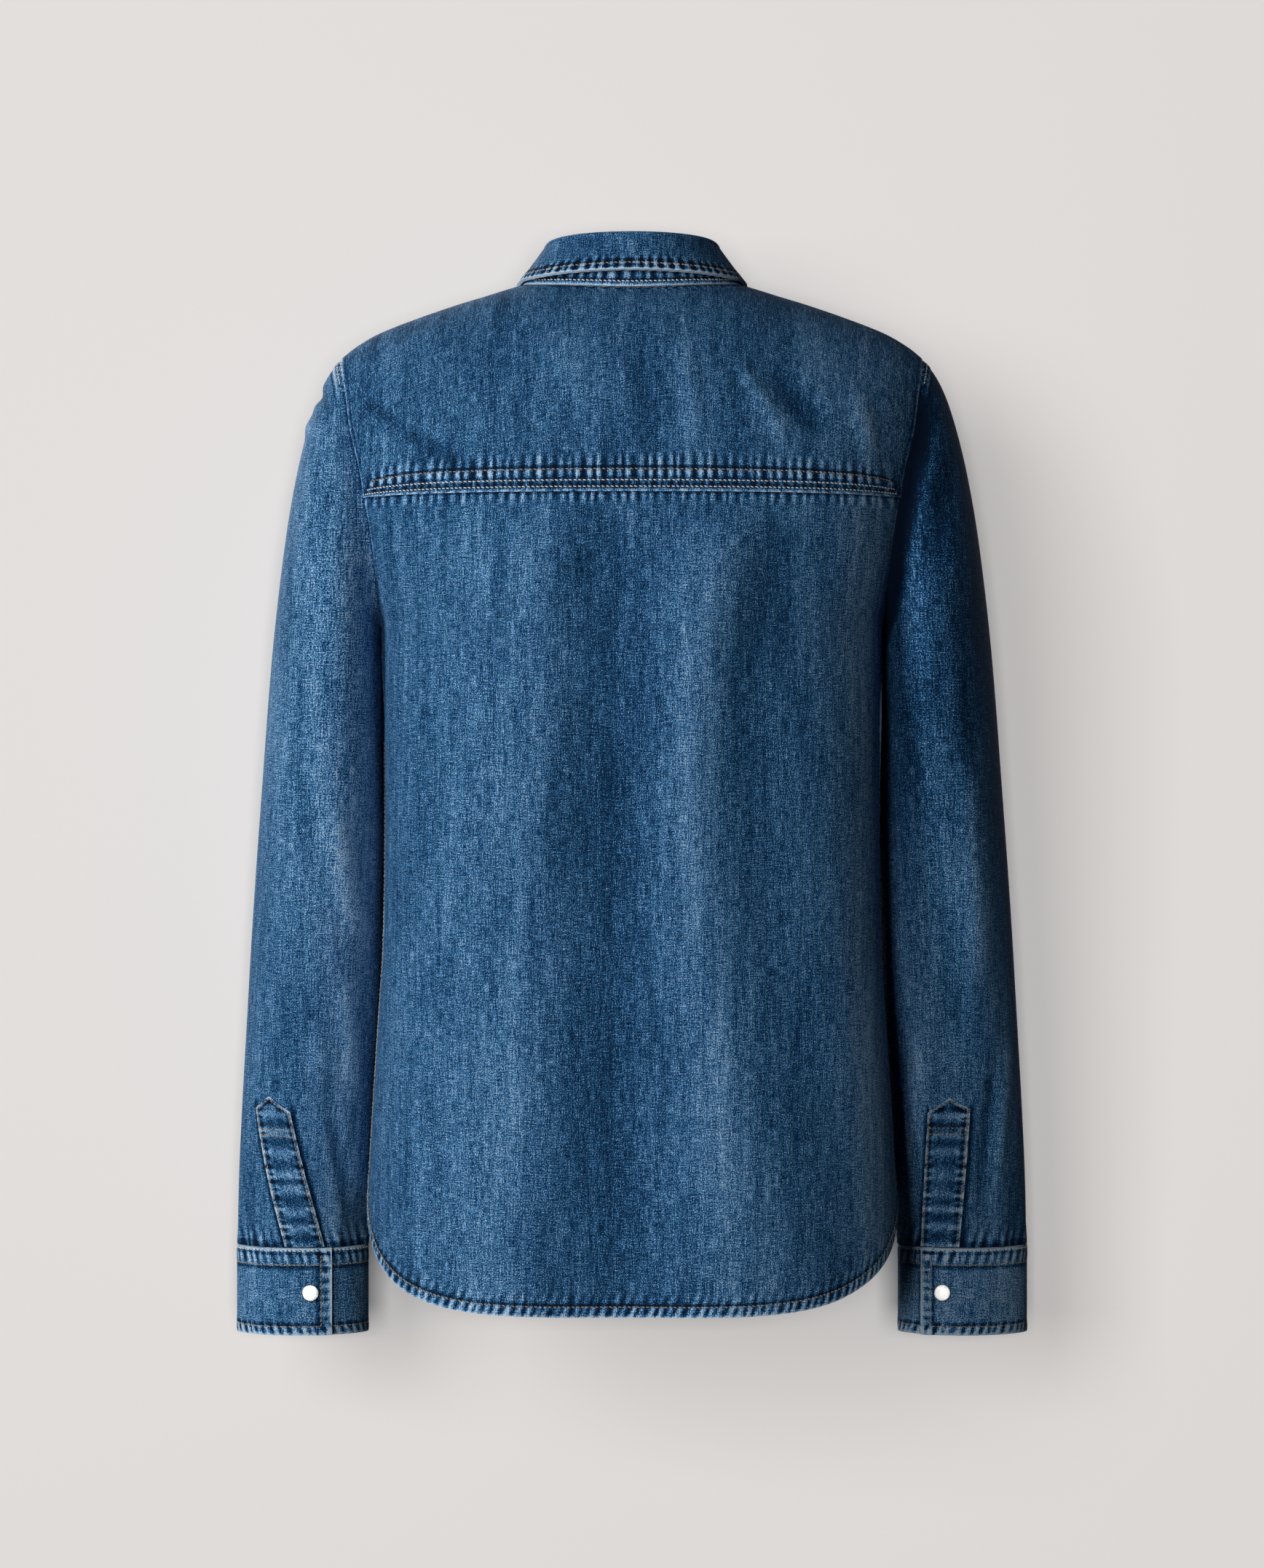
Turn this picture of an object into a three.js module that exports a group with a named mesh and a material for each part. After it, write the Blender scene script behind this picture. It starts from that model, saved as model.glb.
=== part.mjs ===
// A denim shirt for a woman, filled out as worn and hollow inside, with every cut piece as its
// own solid wall of cloth. Sizes are in millimetres. +Z is up, the wearer faces -Y and +X is
// the wearer's left. The origin is the middle of the neck, level with the highest shoulder points.
import * as THREE from "three";

// Cloth and seams
const CLOTH = 1.6;
const STIFF_CLOTH = 2.2;
const SEAM_GAP = 0.3;
const LAY_ON = CLOTH + SEAM_GAP;

// Body: a rounded-square section whose depth rolls away towards the shoulder ridge. The power
// makes it flatter and squarer below the underarms.
const ROLL_BACK = 110;
const ROLL_FRONT = 190;
const SIDE_GAP = 0.2;
const ridgeRows = [
  { x: -35, z: 7 },
  { x: 0, z: 9 },
  { x: 35, z: 7 },
  { x: 70.5, z: 0 },
  { x: 94, z: -7 },
  { x: 110, z: -11.8 },
  { x: 135, z: -20.3 },
  { x: 160.5, z: -30.2 },
  { x: 175, z: -38.5 },
  { x: 184.5, z: -46 },
  { x: 200, z: -60 },
];
const bodyRows = [
  { z: -680, halfWidth: 168.5, back: 118, front: 117, power: 2.9 },
  { z: -600, halfWidth: 167.3, back: 114, front: 114, power: 2.9 },
  { z: -566, halfWidth: 166.2, back: 112, front: 112, power: 2.9 },
  { z: -527, halfWidth: 164, back: 109, front: 110, power: 2.9 },
  { z: -472, halfWidth: 160.5, back: 105, front: 107, power: 2.9 },
  { z: -420, halfWidth: 157.2, back: 102, front: 105, power: 2.9 },
  { z: -350, halfWidth: 156, back: 104, front: 108, power: 2.9 },
  { z: -273, halfWidth: 156.5, back: 110, front: 114, power: 2.75 },
  { z: -240, halfWidth: 157.2, back: 112, front: 116, power: 2.55 },
  { z: -215, halfWidth: 158.8, back: 113, front: 116, power: 2.4 },
  { z: -200, halfWidth: 162.5, back: 113, front: 116, power: 2.4 },
  { z: -175, halfWidth: 168.6, back: 112, front: 115, power: 2.4 },
  { z: -137, halfWidth: 177.6, back: 110, front: 112, power: 2.4 },
  { z: -117, halfWidth: 182, back: 108, front: 110, power: 2.4 },
  { z: -95, halfWidth: 188, back: 106, front: 109, power: 2.4 },
  { z: -72, halfWidth: 192, back: 103, front: 107, power: 2.4 },
  { z: -46, halfWidth: 196, back: 101, front: 106, power: 2.4 },
  { z: 60, halfWidth: 197, back: 101, front: 105, power: 2.4 },
];

// Neck, yoke and hem
const NECK_HALF_WIDTH = 70.5;
const NECK_BACK = 50;
const NECK_FRONT = 74;
const YOKE_BACK_Z = -137;
const YOKE_FRONT_NECK_TURN = 112;
const YOKE_FRONT_RIM_TURN = 62;
const HEM_BACK_Z = -644;
const HEM_FRONT_Z = -627;
const HEM_SIDE_Z = -571;
const HEM_CURVE = 2.9;

// Armhole rim, by its turn from the shoulder tip (0) to the underarm (180)
const UNDERARM_DROP = 186;
const RIM_HALF_DEPTH_BACK = 52;
const RIM_HALF_DEPTH_FRONT = 50;
const RIM_TOP_TAPER_BACK = 0.22;
const RIM_TOP_TAPER_FRONT = 0.352;
const UNDERARM_Z = -215;

// Sleeves, ring by ring down the arm. The inner line's x (leftX, rightX) differs between the two,
// because the left sleeve lies against the body and the right one hangs a little clear of it.
const sleeveRows = [
  { ring: 0, outerX: 184.5, outerZ: -46, leftX: 158.8, rightX: 158.8, innerZ: -215, midY: 0, halfDepth: 49 },
  { ring: 1, outerX: 192, outerZ: -54, leftX: 161, rightX: 161.2, innerZ: -218, midY: -1, halfDepth: 52 },
  { ring: 2, outerX: 199.5, outerZ: -69, leftX: 162, rightX: 162.5, innerZ: -222, midY: -2, halfDepth: 56 },
  { ring: 3, outerX: 206.5, outerZ: -91, leftX: 162, rightX: 162.5, innerZ: -228, midY: -4, halfDepth: 60 },
  { ring: 4, outerX: 213, outerZ: -118, leftX: 161.5, rightX: 162.5, innerZ: -237, midY: -6, halfDepth: 63 },
  { ring: 5, outerX: 219, outerZ: -150, leftX: 160.5, rightX: 162, innerZ: -250, midY: -9, halfDepth: 65 },
  { ring: 6, outerX: 224, outerZ: -185, leftX: 159.8, rightX: 161.3, innerZ: -268, midY: -12, halfDepth: 65 },
  { ring: 7, outerX: 228.8, outerZ: -225, leftX: 159, rightX: 160.8, innerZ: -292, midY: -16, halfDepth: 63 },
  { ring: 8, outerX: 233, outerZ: -270, leftX: 158.4, rightX: 160.3, innerZ: -322, midY: -20, halfDepth: 60 },
  { ring: 9, outerX: 237, outerZ: -320, leftX: 158.2, rightX: 160.2, innerZ: -359, midY: -24, halfDepth: 57 },
  { ring: 10, outerX: 241, outerZ: -370, leftX: 158.8, rightX: 160.8, innerZ: -399, midY: -28, halfDepth: 54 },
  { ring: 11, outerX: 244.5, outerZ: -420, leftX: 160, rightX: 162, innerZ: -441, midY: -31, halfDepth: 51 },
  { ring: 12, outerX: 247.5, outerZ: -470, leftX: 162.5, rightX: 164.3, innerZ: -484, midY: -33, halfDepth: 47 },
  { ring: 13, outerX: 250.5, outerZ: -520, leftX: 166, rightX: 167.3, innerZ: -528, midY: -35, halfDepth: 42 },
  { ring: 14, outerX: 252.8, outerZ: -568, leftX: 169, rightX: 170, innerZ: -571, midY: -36, halfDepth: 36 },
  { ring: 15, outerX: 253.8, outerZ: -613, leftX: 171, rightX: 172.5, innerZ: -613, midY: -36, halfDepth: 30 },
];
const LAST_RING = 15;
const RIM_FADE_RINGS = 5;

// Tucks that take the sleeve's fullness into the cuff
const tuckRows = [
  { side: 1, turn: 30, width: 22, depth: 2.8 },
  { side: 1, turn: 148, width: 24, depth: 2.4 },
  { side: 1, turn: 285, width: 26, depth: 2.6 },
  { side: -1, turn: 35, width: 24, depth: 2.8 },
  { side: -1, turn: 70, width: 20, depth: 2 },
  { side: -1, turn: 285, width: 26, depth: 2.6 },
];
const TUCK_LENGTH_RINGS = 1.3;

// Cuffs and sleeve plackets
const CUFF_TOP_Z = -613.4;
const CUFF_BOTTOM_Z = -669;
const CUFF_OVERLAP_TURN = 40;
const CUFF_EASE_TURN = 45;
const SNAP_Z_ON_CUFF = -641;
const PLACKET_POINT_RINGS = 0.18;
const PLACKET_SLACK = 0.4;
const sleeveRowsBySide = [
  {
    side: 1, name: "left", inner: "leftX", cuffEdgeTurn: 118, snapTurn: 99,
    placketTopTurn: 61, placketBottomTurn: 95, placketTopRing: 13.05, placketHalfTurn: 17,
  },
  {
    side: -1, name: "right", inner: "rightX", cuffEdgeTurn: 131, snapTurn: 111,
    placketTopTurn: 100, placketBottomTurn: 114, placketTopRing: 13, placketHalfTurn: 18,
  },
];

// Front closing and collar
const PLACKET_HALF_WIDTH = 16;
const FRONT_EDGE_X = -15;
const FRONT_SNAP_Z = [-78, -163, -248, -333, -418, -503];
const STAND_INSET = 1.7;
const STAND_SNAP_RISE = 0.5;
const STAND_TOP_HALF_WIDTH = 50.5;
const STAND_TOP_BACK = 42;
const STAND_TOP_FRONT = 66;
const standTopRows = [
  { turn: -60, z: 23.5 },
  { turn: 0, z: 25 },
  { turn: 60, z: 23.5 },
  { turn: 90, z: 20 },
  { turn: 120, z: 11 },
  { turn: 150, z: -6 },
  { turn: 180, z: -17 },
  { turn: 210, z: -6 },
];
const LEAF_END_TURN = 169;
const FOLD_RISE = 2.2;
const FOLD_WIDTH = 5;
const leafEdgeRows = [
  { turn: -30, x: -38, y: 49, z: 4.4 },
  { turn: 0, x: 0, y: 56, z: 5.4 },
  { turn: 30, x: 38, y: 49, z: 4.4 },
  { turn: 60, x: 63, y: 29, z: 2.8 },
  { turn: 90, x: 71.5, y: 2, z: 2.4 },
  { turn: 112, x: 73, y: -26, z: -1.6 },
  { turn: 135, x: 67, y: -60, z: -26 },
  { turn: 152, x: 55, y: -84, z: -54 },
  { turn: 169, x: 38, y: -98, z: -80 },
];

// Snap fasteners
const SNAP_RADIUS = 5.5;
const SNAP_HEIGHT = 2.8;
const SNAP_CLEARANCE = 0.6;

// Finishes
const denim = new THREE.MeshStandardMaterial({ color: 0x44698c, roughness: 0.85, metalness: 0 });
const pearl = new THREE.MeshStandardMaterial({ color: 0xf2f1ee, roughness: 0.3, metalness: 0 });

const radians = THREE.MathUtils.degToRad;
const degrees = THREE.MathUtils.radToDeg;
const { clamp, lerp, smoothstep } = THREE.MathUtils;

// A smooth curve through one column of a table, read at a value of its key column
function read(rows, key, at, column) {
  const last = rows.length - 1;
  const value = clamp(at, rows[0][key], rows[last][key]);
  let i = 0;
  while (i < last - 1 && value > rows[i + 1][key]) i += 1;
  const slope = (k) => {
    const before = rows[Math.max(k - 1, 0)];
    const after = rows[Math.min(k + 1, last)];
    return (after[column] - before[column]) / (after[key] - before[key]);
  };
  const step = rows[i + 1][key] - rows[i][key];
  const t = (value - rows[i][key]) / step;
  const startWeight = (1 + 2 * t) * (1 - t) ** 2;
  const endWeight = t * t * (3 - 2 * t);
  const bend = step * (t * (1 - t) ** 2 * slope(i) - t * t * (1 - t) * slope(i + 1));
  return startWeight * rows[i][column] + endWeight * rows[i + 1][column] + bend;
}

function ridge(x) {
  return read(ridgeRows, "x", Math.abs(x), "z");
}

function body(z, column) {
  return read(bodyRows, "z", z, column);
}

// How far the depth has filled out at a drop below the shoulder ridge, from 0 to 1
function fill(drop, side) {
  const t = clamp(drop / (side > 0 ? ROLL_BACK : ROLL_FRONT), 0, 1);
  return Math.sqrt(1 - (1 - t) ** 2);
}

function depth(z, side) {
  return body(z, side > 0 ? "back" : "front");
}

// How much of the depth is left at a distance from the middle, from 1 there to 0 at the side
function narrowing(x, z) {
  const share = Math.abs(x) / body(z, "halfWidth");
  const power = body(z, "power");
  return Math.max(0, 1 - share ** power) ** (1 / power);
}

// Zero on the body's surface, positive outside it
function outsideness(x, y, z) {
  const side = y >= 0 ? 1 : -1;
  return (y / depth(z, side)) ** 2 - (fill(ridge(x) - z, side) * narrowing(x, z)) ** 2;
}

function bodyNormal(p) {
  const h = 0.2;
  return new THREE.Vector3(
    outsideness(p.x + h, p.y, p.z) - outsideness(p.x - h, p.y, p.z),
    outsideness(p.x, p.y + h, p.z) - outsideness(p.x, p.y - h, p.z),
    outsideness(p.x, p.y, p.z + h) - outsideness(p.x, p.y, p.z - h),
  ).normalize();
}

// A point of the body by its turn round from the middle of the back or front, and its height
function bodyPoint(turn, z, side) {
  const sine = Math.sin(radians(turn));
  const cosine = Math.abs(Math.cos(radians(turn)));
  const power = body(z, "power");
  const x = body(z, "halfWidth") * Math.sign(sine) * Math.abs(sine) ** (2 / power);
  const filled = depth(z, side) * fill(ridge(x) - z, side);
  return new THREE.Vector3(x, side * (filled * cosine ** (2 / power) + SIDE_GAP), z);
}

// The same surface by x and by the root of the drop below the ridge, which is under 0 in front
function shoulderPoint(x, root) {
  const side = root >= 0 ? 1 : -1;
  const z = ridge(x) - root * root;
  return new THREE.Vector3(x, side * depth(z, side) * narrowing(x, z) * fill(root * root, side), z);
}

// The neck curve in that chart, turned from the middle of the back towards the wearer's left
function neckChart(turn, inset) {
  const x = (NECK_HALF_WIDTH - inset) * Math.sin(radians(turn));
  const cosine = Math.cos(radians(turn));
  const side = cosine >= 0 ? 1 : -1;
  const y = (side > 0 ? NECK_BACK : NECK_FRONT) * cosine - inset * cosine;
  const roll = side > 0 ? ROLL_BACK : ROLL_FRONT;
  let z = ridge(x);
  let drop = 0;
  for (let pass = 0; pass < 4; pass += 1) {
    const filled = clamp(Math.abs(y) / (depth(z, side) * narrowing(x, z)), 0, 1);
    drop = roll * (1 - Math.sqrt(1 - filled * filled));
    z = ridge(x) - drop;
  }
  return { x, root: side * Math.sqrt(drop) };
}

function neckPoint(turn, inset) {
  const chart = neckChart(turn, inset);
  return shoulderPoint(chart.x, chart.root);
}

// The armhole rim in that chart, for the wearer's left
function rimChart(turn, side) {
  const safeTurn = clamp(turn, 0.5, 179.99);
  const half = side > 0 ? RIM_HALF_DEPTH_BACK : RIM_HALF_DEPTH_FRONT;
  const taper = side > 0 ? RIM_TOP_TAPER_BACK : RIM_TOP_TAPER_FRONT;
  const topTaper = 1 - taper * Math.cos(radians(safeTurn / 2)) ** 2;
  const y = half * Math.sin(radians(safeTurn)) * topTaper;
  const root = Math.sqrt(UNDERARM_DROP) * Math.sin(radians(safeTurn / 2));
  let x = 175;
  for (let pass = 0; pass < 6; pass += 1) {
    const z = ridge(x) - root * root;
    const share = clamp(y / (depth(z, side) * fill(root * root, side)), 0, 1);
    const power = body(z, "power");
    x = body(z, "halfWidth") * (1 - share ** power) ** (1 / power);
  }
  return { x, root: side * root };
}

function rimPoint(turn, side) {
  const chart = rimChart(turn, side);
  return shoulderPoint(chart.x, chart.root);
}

function rimTurnAt(z, side) {
  let low = 1;
  let high = 179;
  for (let pass = 0; pass < 30; pass += 1) {
    const middle = (low + high) / 2;
    if (rimPoint(middle, side).z > z) low = middle;
    else high = middle;
  }
  return low;
}

// A body point as its turn and height, the chart in which the panels are laid out
function turnOf(p, side) {
  const share = clamp(Math.abs(p.y) / (depth(p.z, side) * fill(ridge(p.x) - p.z, side)), 0, 1);
  return Math.sign(p.x) * degrees(Math.acos(share ** (body(p.z, "power") / 2)));
}

// The turn at which a panel's surface lies at a distance x from the middle
function turnAtX(x, z) {
  const share = Math.abs(x) / body(z, "halfWidth");
  return Math.sign(x) * degrees(Math.asin(share ** (body(z, "power") / 2)));
}

function chartOf(p, side) {
  return new THREE.Vector2(turnOf(p, side), p.z);
}

// A closed wall of cloth on a grid of places, each a point with the direction out of the cloth
function clothWall(columns, rows, place, thickness, closed = false) {
  const across = closed ? columns : columns + 1;
  const layer = across * (rows + 1);
  const positions = [];
  for (const offset of [thickness / 2, -thickness / 2]) {
    for (let j = 0; j <= rows; j += 1) {
      for (let i = 0; i < across; i += 1) {
        const { point, out } = place(i / columns, j / rows);
        positions.push(...point.clone().addScaledVector(out, offset).toArray());
      }
    }
  }
  const faces = [];
  const quad = (a, b, c, d) => faces.push(a, b, c, a, c, d);
  const at = (i, j, side) => side * layer + j * across + (i % across);
  for (let i = 0; i < columns; i += 1) {
    for (let j = 0; j < rows; j += 1) {
      quad(at(i, j, 0), at(i + 1, j, 0), at(i + 1, j + 1, 0), at(i, j + 1, 0));
      quad(at(i, j, 1), at(i, j + 1, 1), at(i + 1, j + 1, 1), at(i + 1, j, 1));
    }
    quad(at(i, 0, 1), at(i + 1, 0, 1), at(i + 1, 0, 0), at(i, 0, 0));
    quad(at(i, rows, 0), at(i + 1, rows, 0), at(i + 1, rows, 1), at(i, rows, 1));
  }
  if (!closed) {
    for (let j = 0; j < rows; j += 1) {
      quad(at(0, j, 0), at(0, j + 1, 0), at(0, j + 1, 1), at(0, j, 1));
      quad(at(columns, j, 1), at(columns, j + 1, 1), at(columns, j + 1, 0), at(columns, j, 0));
    }
  }
  return outwardGeometry(positions, faces);
}

// Turns the faces over where they enclose a negative volume
function outwardGeometry(positions, faces) {
  const corner = (k) => new THREE.Vector3().fromArray(positions, 3 * faces[k]);
  let volume = 0;
  for (let k = 0; k < faces.length; k += 3) {
    volume += corner(k).dot(corner(k + 1).cross(corner(k + 2)));
  }
  if (volume < 0) faces.reverse();
  const geometry = new THREE.BufferGeometry();
  geometry.setAttribute("position", new THREE.Float32BufferAttribute(positions, 3));
  geometry.setIndex(faces);
  return geometry;
}

// A place function from a plain point function, with the direction from its two slopes
function placeOf(pointAt, flip = 1) {
  const h = 0.002;
  return (u, v) => {
    const before = Math.max(v - h, 0);
    const after = Math.min(v + h, 1);
    const along = pointAt(u + h, v).sub(pointAt(u - h, v));
    const down = pointAt(u, after).sub(pointAt(u, before));
    return { point: pointAt(u, v), out: along.cross(down).multiplyScalar(flip).normalize() };
  };
}

function movedOut(place, distance) {
  return (u, v) => {
    const { point, out } = place(u, v);
    return { point: point.addScaledVector(out, distance), out };
  };
}

// A patch between four edges in a flat chart
function patch(top, bottom, start, end, u, v) {
  const mixed = new THREE.Vector2();
  const add = (p, weight) => mixed.addScaledVector(p, weight);
  add(top(u), 1 - v);
  add(bottom(u), v);
  add(start(v), 1 - u);
  add(end(v), u);
  add(top(0), -(1 - u) * (1 - v));
  add(top(1), -u * (1 - v));
  add(bottom(0), -(1 - u) * v);
  add(bottom(1), -u * v);
  return mixed;
}

function bodyPlace(chart, side) {
  const point = bodyPoint(chart.x, chart.y, side);
  const surface = new THREE.Vector3(point.x, point.y - side * SIDE_GAP, point.z);
  return { point, out: bodyNormal(surface) };
}

function hemZ(turn, side) {
  const low = side > 0 ? HEM_BACK_Z : HEM_FRONT_Z;
  return low + (HEM_SIDE_Z - low) * (Math.abs(turn) / 90) ** HEM_CURVE;
}

// The side edge of a panel: down the armhole rim to the underarm, then down the side seam
function sideEdge(startTurn, side, rimShare, share) {
  if (share <= rimShare) {
    const turn = lerp(startTurn, 180, share / rimShare);
    return chartOf(rimPoint(turn, side), side);
  }
  const z = lerp(UNDERARM_Z, HEM_SIDE_Z, (share - rimShare) / (1 - rimShare));
  return new THREE.Vector2(90, z);
}

function mirrored(chart) {
  return new THREE.Vector2(-chart.x, chart.y);
}

// Back panel, from the yoke seam to the curved shirt-tail hem
function backPanel() {
  const columns = 20;
  const rows = 20;
  const topZ = YOKE_BACK_Z - SEAM_GAP / 2;
  const rimShare = 4 / rows;
  const startTurn = rimTurnAt(topZ, 1);
  const corner = chartOf(rimPoint(startTurn, 1), 1);
  const top = (u) => new THREE.Vector2(lerp(-corner.x, corner.x, u), topZ);
  const bottom = (u) => new THREE.Vector2(lerp(-90, 90, u), hemZ(lerp(-90, 90, u), 1));
  const end = (v) => sideEdge(startTurn, 1, rimShare, v);
  const start = (v) => mirrored(end(v));
  const place = (u, v) => bodyPlace(patch(top, bottom, start, end, u, v), 1);
  return clothWall(columns, rows, place, CLOTH);
}

// Front seam of the yoke, from the neck (0) to the armhole (1), on the wearer's left
function yokeFrontSeam(share, gap) {
  const neck = neckChart(YOKE_FRONT_NECK_TURN, -SEAM_GAP);
  const rim = rimChart(YOKE_FRONT_RIM_TURN, -1);
  const x = lerp(neck.x, rim.x, share);
  const root = lerp(neck.root, rim.root, share);
  const drop = root * root + gap;
  return { x, root: -Math.sqrt(drop) };
}

// Yoke: over both shoulders, from the neck to the armholes and the straight seam at the back
function yoke() {
  const rimColumns = 8;
  const seamColumns = 14;
  const columns = 2 * rimColumns + seamColumns;
  const rows = 6;
  const bottomZ = YOKE_BACK_Z + SEAM_GAP / 2;
  const backTurn = rimTurnAt(bottomZ, 1);
  const cornerX = rimPoint(backTurn, 1).x;
  const neckCornerTurn = 52;
  const outer = (step) => {
    if (step <= rimColumns) {
      const turn = lerp(-YOKE_FRONT_RIM_TURN, backTurn, step / rimColumns);
      const chart = rimChart(Math.abs(turn), turn < 0 ? -1 : 1);
      return { ...chart, neckTurn: lerp(YOKE_FRONT_NECK_TURN, neckCornerTurn, step / rimColumns) };
    }
    const share = (step - rimColumns) / seamColumns;
    const x = lerp(cornerX, -cornerX, share);
    return { x, root: Math.sqrt(ridge(x) - bottomZ), neckTurn: lerp(neckCornerTurn, -neckCornerTurn, share) };
  };
  const place = (u, v) => {
    const step = Math.round(u * columns);
    const mirror = step > rimColumns + seamColumns ? -1 : 1;
    const edge = outer(mirror < 0 ? columns - step : step);
    const neck = neckChart(edge.neckTurn, -SEAM_GAP);
    const onSeam = step === 0 || step === columns ? yokeFrontSeam(v, -SEAM_GAP / 2) : null;
    const x = onSeam ? onSeam.x : lerp(neck.x, edge.x, v);
    const root = onSeam ? onSeam.root : lerp(neck.root, edge.root, v);
    const point = shoulderPoint(mirror * x, root);
    return { point, out: bodyNormal(point) };
  };
  return clothWall(columns, rows, place, CLOTH);
}

// One front: from the neck and the yoke's front seam down to the hem. Its inner edge runs a
// little to the right of the middle, so that the left front passes under the placket.
function front(side) {
  const neckColumns = 5;
  const seamColumns = 6;
  const columns = neckColumns + seamColumns;
  const rows = 21;
  const rimShare = 5 / rows;
  const edgeX = side > 0 ? FRONT_EDGE_X : -FRONT_EDGE_X + SEAM_GAP;
  const closeTurn = 180 - degrees(Math.asin(edgeX / NECK_HALF_WIDTH));
  const chartAt = (chart) => chartOf(shoulderPoint(chart.x, chart.root), -1);
  const top = (u) => {
    const step = u * columns;
    if (step <= neckColumns) {
      const turn = lerp(closeTurn, YOKE_FRONT_NECK_TURN, step / neckColumns);
      const fade = step / neckColumns;
      const chart = neckChart(turn, -SEAM_GAP);
      return chartAt({ x: chart.x, root: -Math.sqrt(chart.root ** 2 + fade * SEAM_GAP / 2) });
    }
    return chartAt(yokeFrontSeam((step - neckColumns) / seamColumns, SEAM_GAP / 2));
  };
  const bottom = (u) => {
    const turn = lerp(turnAtX(edgeX, HEM_FRONT_Z), 90, u);
    return new THREE.Vector2(turn, hemZ(turn, -1));
  };
  const start = (v) => {
    const z = lerp(top(0).y, HEM_FRONT_Z, v);
    return new THREE.Vector2(turnAtX(edgeX, z), z);
  };
  const end = (v) => (v === 0 ? top(1) : sideEdge(YOKE_FRONT_RIM_TURN, -1, rimShare, v));
  const place = (u, v) => {
    const chart = patch(top, bottom, start, end, u, v);
    return bodyPlace(side > 0 ? chart : mirrored(chart), -1);
  };
  return clothWall(columns, rows, place, CLOTH);
}

// Front placket: a strip that lies on both fronts, from the collar seam to the hem
function frontPlacket() {
  const place = (u, v) => {
    const x = lerp(-PLACKET_HALF_WIDTH, PLACKET_HALF_WIDTH, u);
    const neckTurn = 180 - degrees(Math.asin(x / NECK_HALF_WIDTH));
    const topZ = neckPoint(neckTurn, -STIFF_CLOTH).z;
    const z = lerp(topZ, HEM_FRONT_Z, v);
    return bodyPlace(new THREE.Vector2(turnAtX(x, z), z), -1);
  };
  return { geometry: clothWall(2, 22, movedOut(place, LAY_ON), CLOTH), place: movedOut(place, LAY_ON) };
}

// Collar stand: a band that rises from the neck seam and leans in a little
function standPoint(turn, rise) {
  const low = neckPoint(turn, STAND_INSET);
  const cosine = Math.cos(radians(turn));
  const high = new THREE.Vector3(
    STAND_TOP_HALF_WIDTH * Math.sin(radians(turn)),
    (cosine > 0 ? STAND_TOP_BACK : STAND_TOP_FRONT) * cosine,
    read(standTopRows, "turn", Math.abs(turn), "z"),
  );
  return low.lerp(high, rise);
}

function collarStand() {
  const endTurn = degrees(Math.asin(-FRONT_EDGE_X / NECK_HALF_WIDTH));
  const startTurn = -(180 - endTurn) + 0.3;
  const pointAt = (u, v) => standPoint(lerp(startTurn, 180 + endTurn, u), 1 - v);
  return clothWall(34, 2, placeOf(pointAt), STIFF_CLOTH);
}

// Collar leaf: folds over the top of the stand and falls to its outer edge and two points
function leafPoint(turn, fall) {
  const top = standPoint(turn, 1);
  const away = new THREE.Vector3(top.x / STAND_TOP_HALF_WIDTH, top.y / STAND_TOP_FRONT, 0).normalize();
  const foldShare = 0.16;
  const foldTurn = radians(180 * Math.min(fall / foldShare, 1));
  const folded = top.clone().addScaledVector(away, (FOLD_WIDTH / 2) * (1 - Math.cos(foldTurn)));
  folded.z += FOLD_RISE + (FOLD_WIDTH / 2) * Math.sin(foldTurn);
  if (fall <= foldShare) return folded;
  const mirror = Math.sign(turn) || 1;
  const edge = new THREE.Vector3(
    mirror * read(leafEdgeRows, "turn", Math.abs(turn), "x"),
    read(leafEdgeRows, "turn", Math.abs(turn), "y"),
    read(leafEdgeRows, "turn", Math.abs(turn), "z"),
  );
  return folded.lerp(edge, (fall - foldShare) / (1 - foldShare));
}

function collarLeaf() {
  const pointAt = (u, v) => leafPoint(lerp(-LEAF_END_TURN, LEAF_END_TURN, clamp(u, 0, 1)), v);
  return clothWall(34, 7, placeOf(pointAt), STIFF_CLOTH);
}

// A point of a sleeve, by its turn from the outer line (0) round the back (90) to the inner
// line (180), and by its ring
function sleevePoint(arm, turn, ring) {
  const at = (column) => read(sleeveRows, "ring", ring, column);
  const outer = new THREE.Vector3(at("outerX"), at("midY"), at("outerZ"));
  const inner = new THREE.Vector3(at(arm.inner), at("midY"), at("innerZ"));
  const point = ringPoint(outer, inner, at("halfDepth"), turn);
  const fade = clamp(1 - ring / RIM_FADE_RINGS, 0, 1) ** 2;
  if (fade > 0) point.addScaledVector(rimOffset(turn), fade);
  const towardsCuff = smoothstep(ring, LAST_RING - TUCK_LENGTH_RINGS, LAST_RING);
  const middle = outer.clone().add(inner).multiplyScalar(0.5);
  const inward = middle.sub(point).setZ(0).normalize();
  for (const tuck of tuckRows) {
    const apart = Math.abs(((turn - tuck.turn) % 360 + 540) % 360 - 180);
    const away = tuck.side === arm.side ? apart / tuck.width : 1;
    if (away < 1) point.addScaledVector(inward, tuck.depth * towardsCuff * (1 - away * away) ** 2);
  }
  return point.setX(arm.side * point.x);
}

function ringPoint(outer, inner, halfDepth, turn) {
  const middle = outer.clone().add(inner).multiplyScalar(0.5);
  const reach = outer.clone().sub(middle);
  const point = middle.addScaledVector(reach, Math.cos(radians(turn)));
  point.y += halfDepth * Math.sin(radians(turn));
  return point;
}

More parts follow.
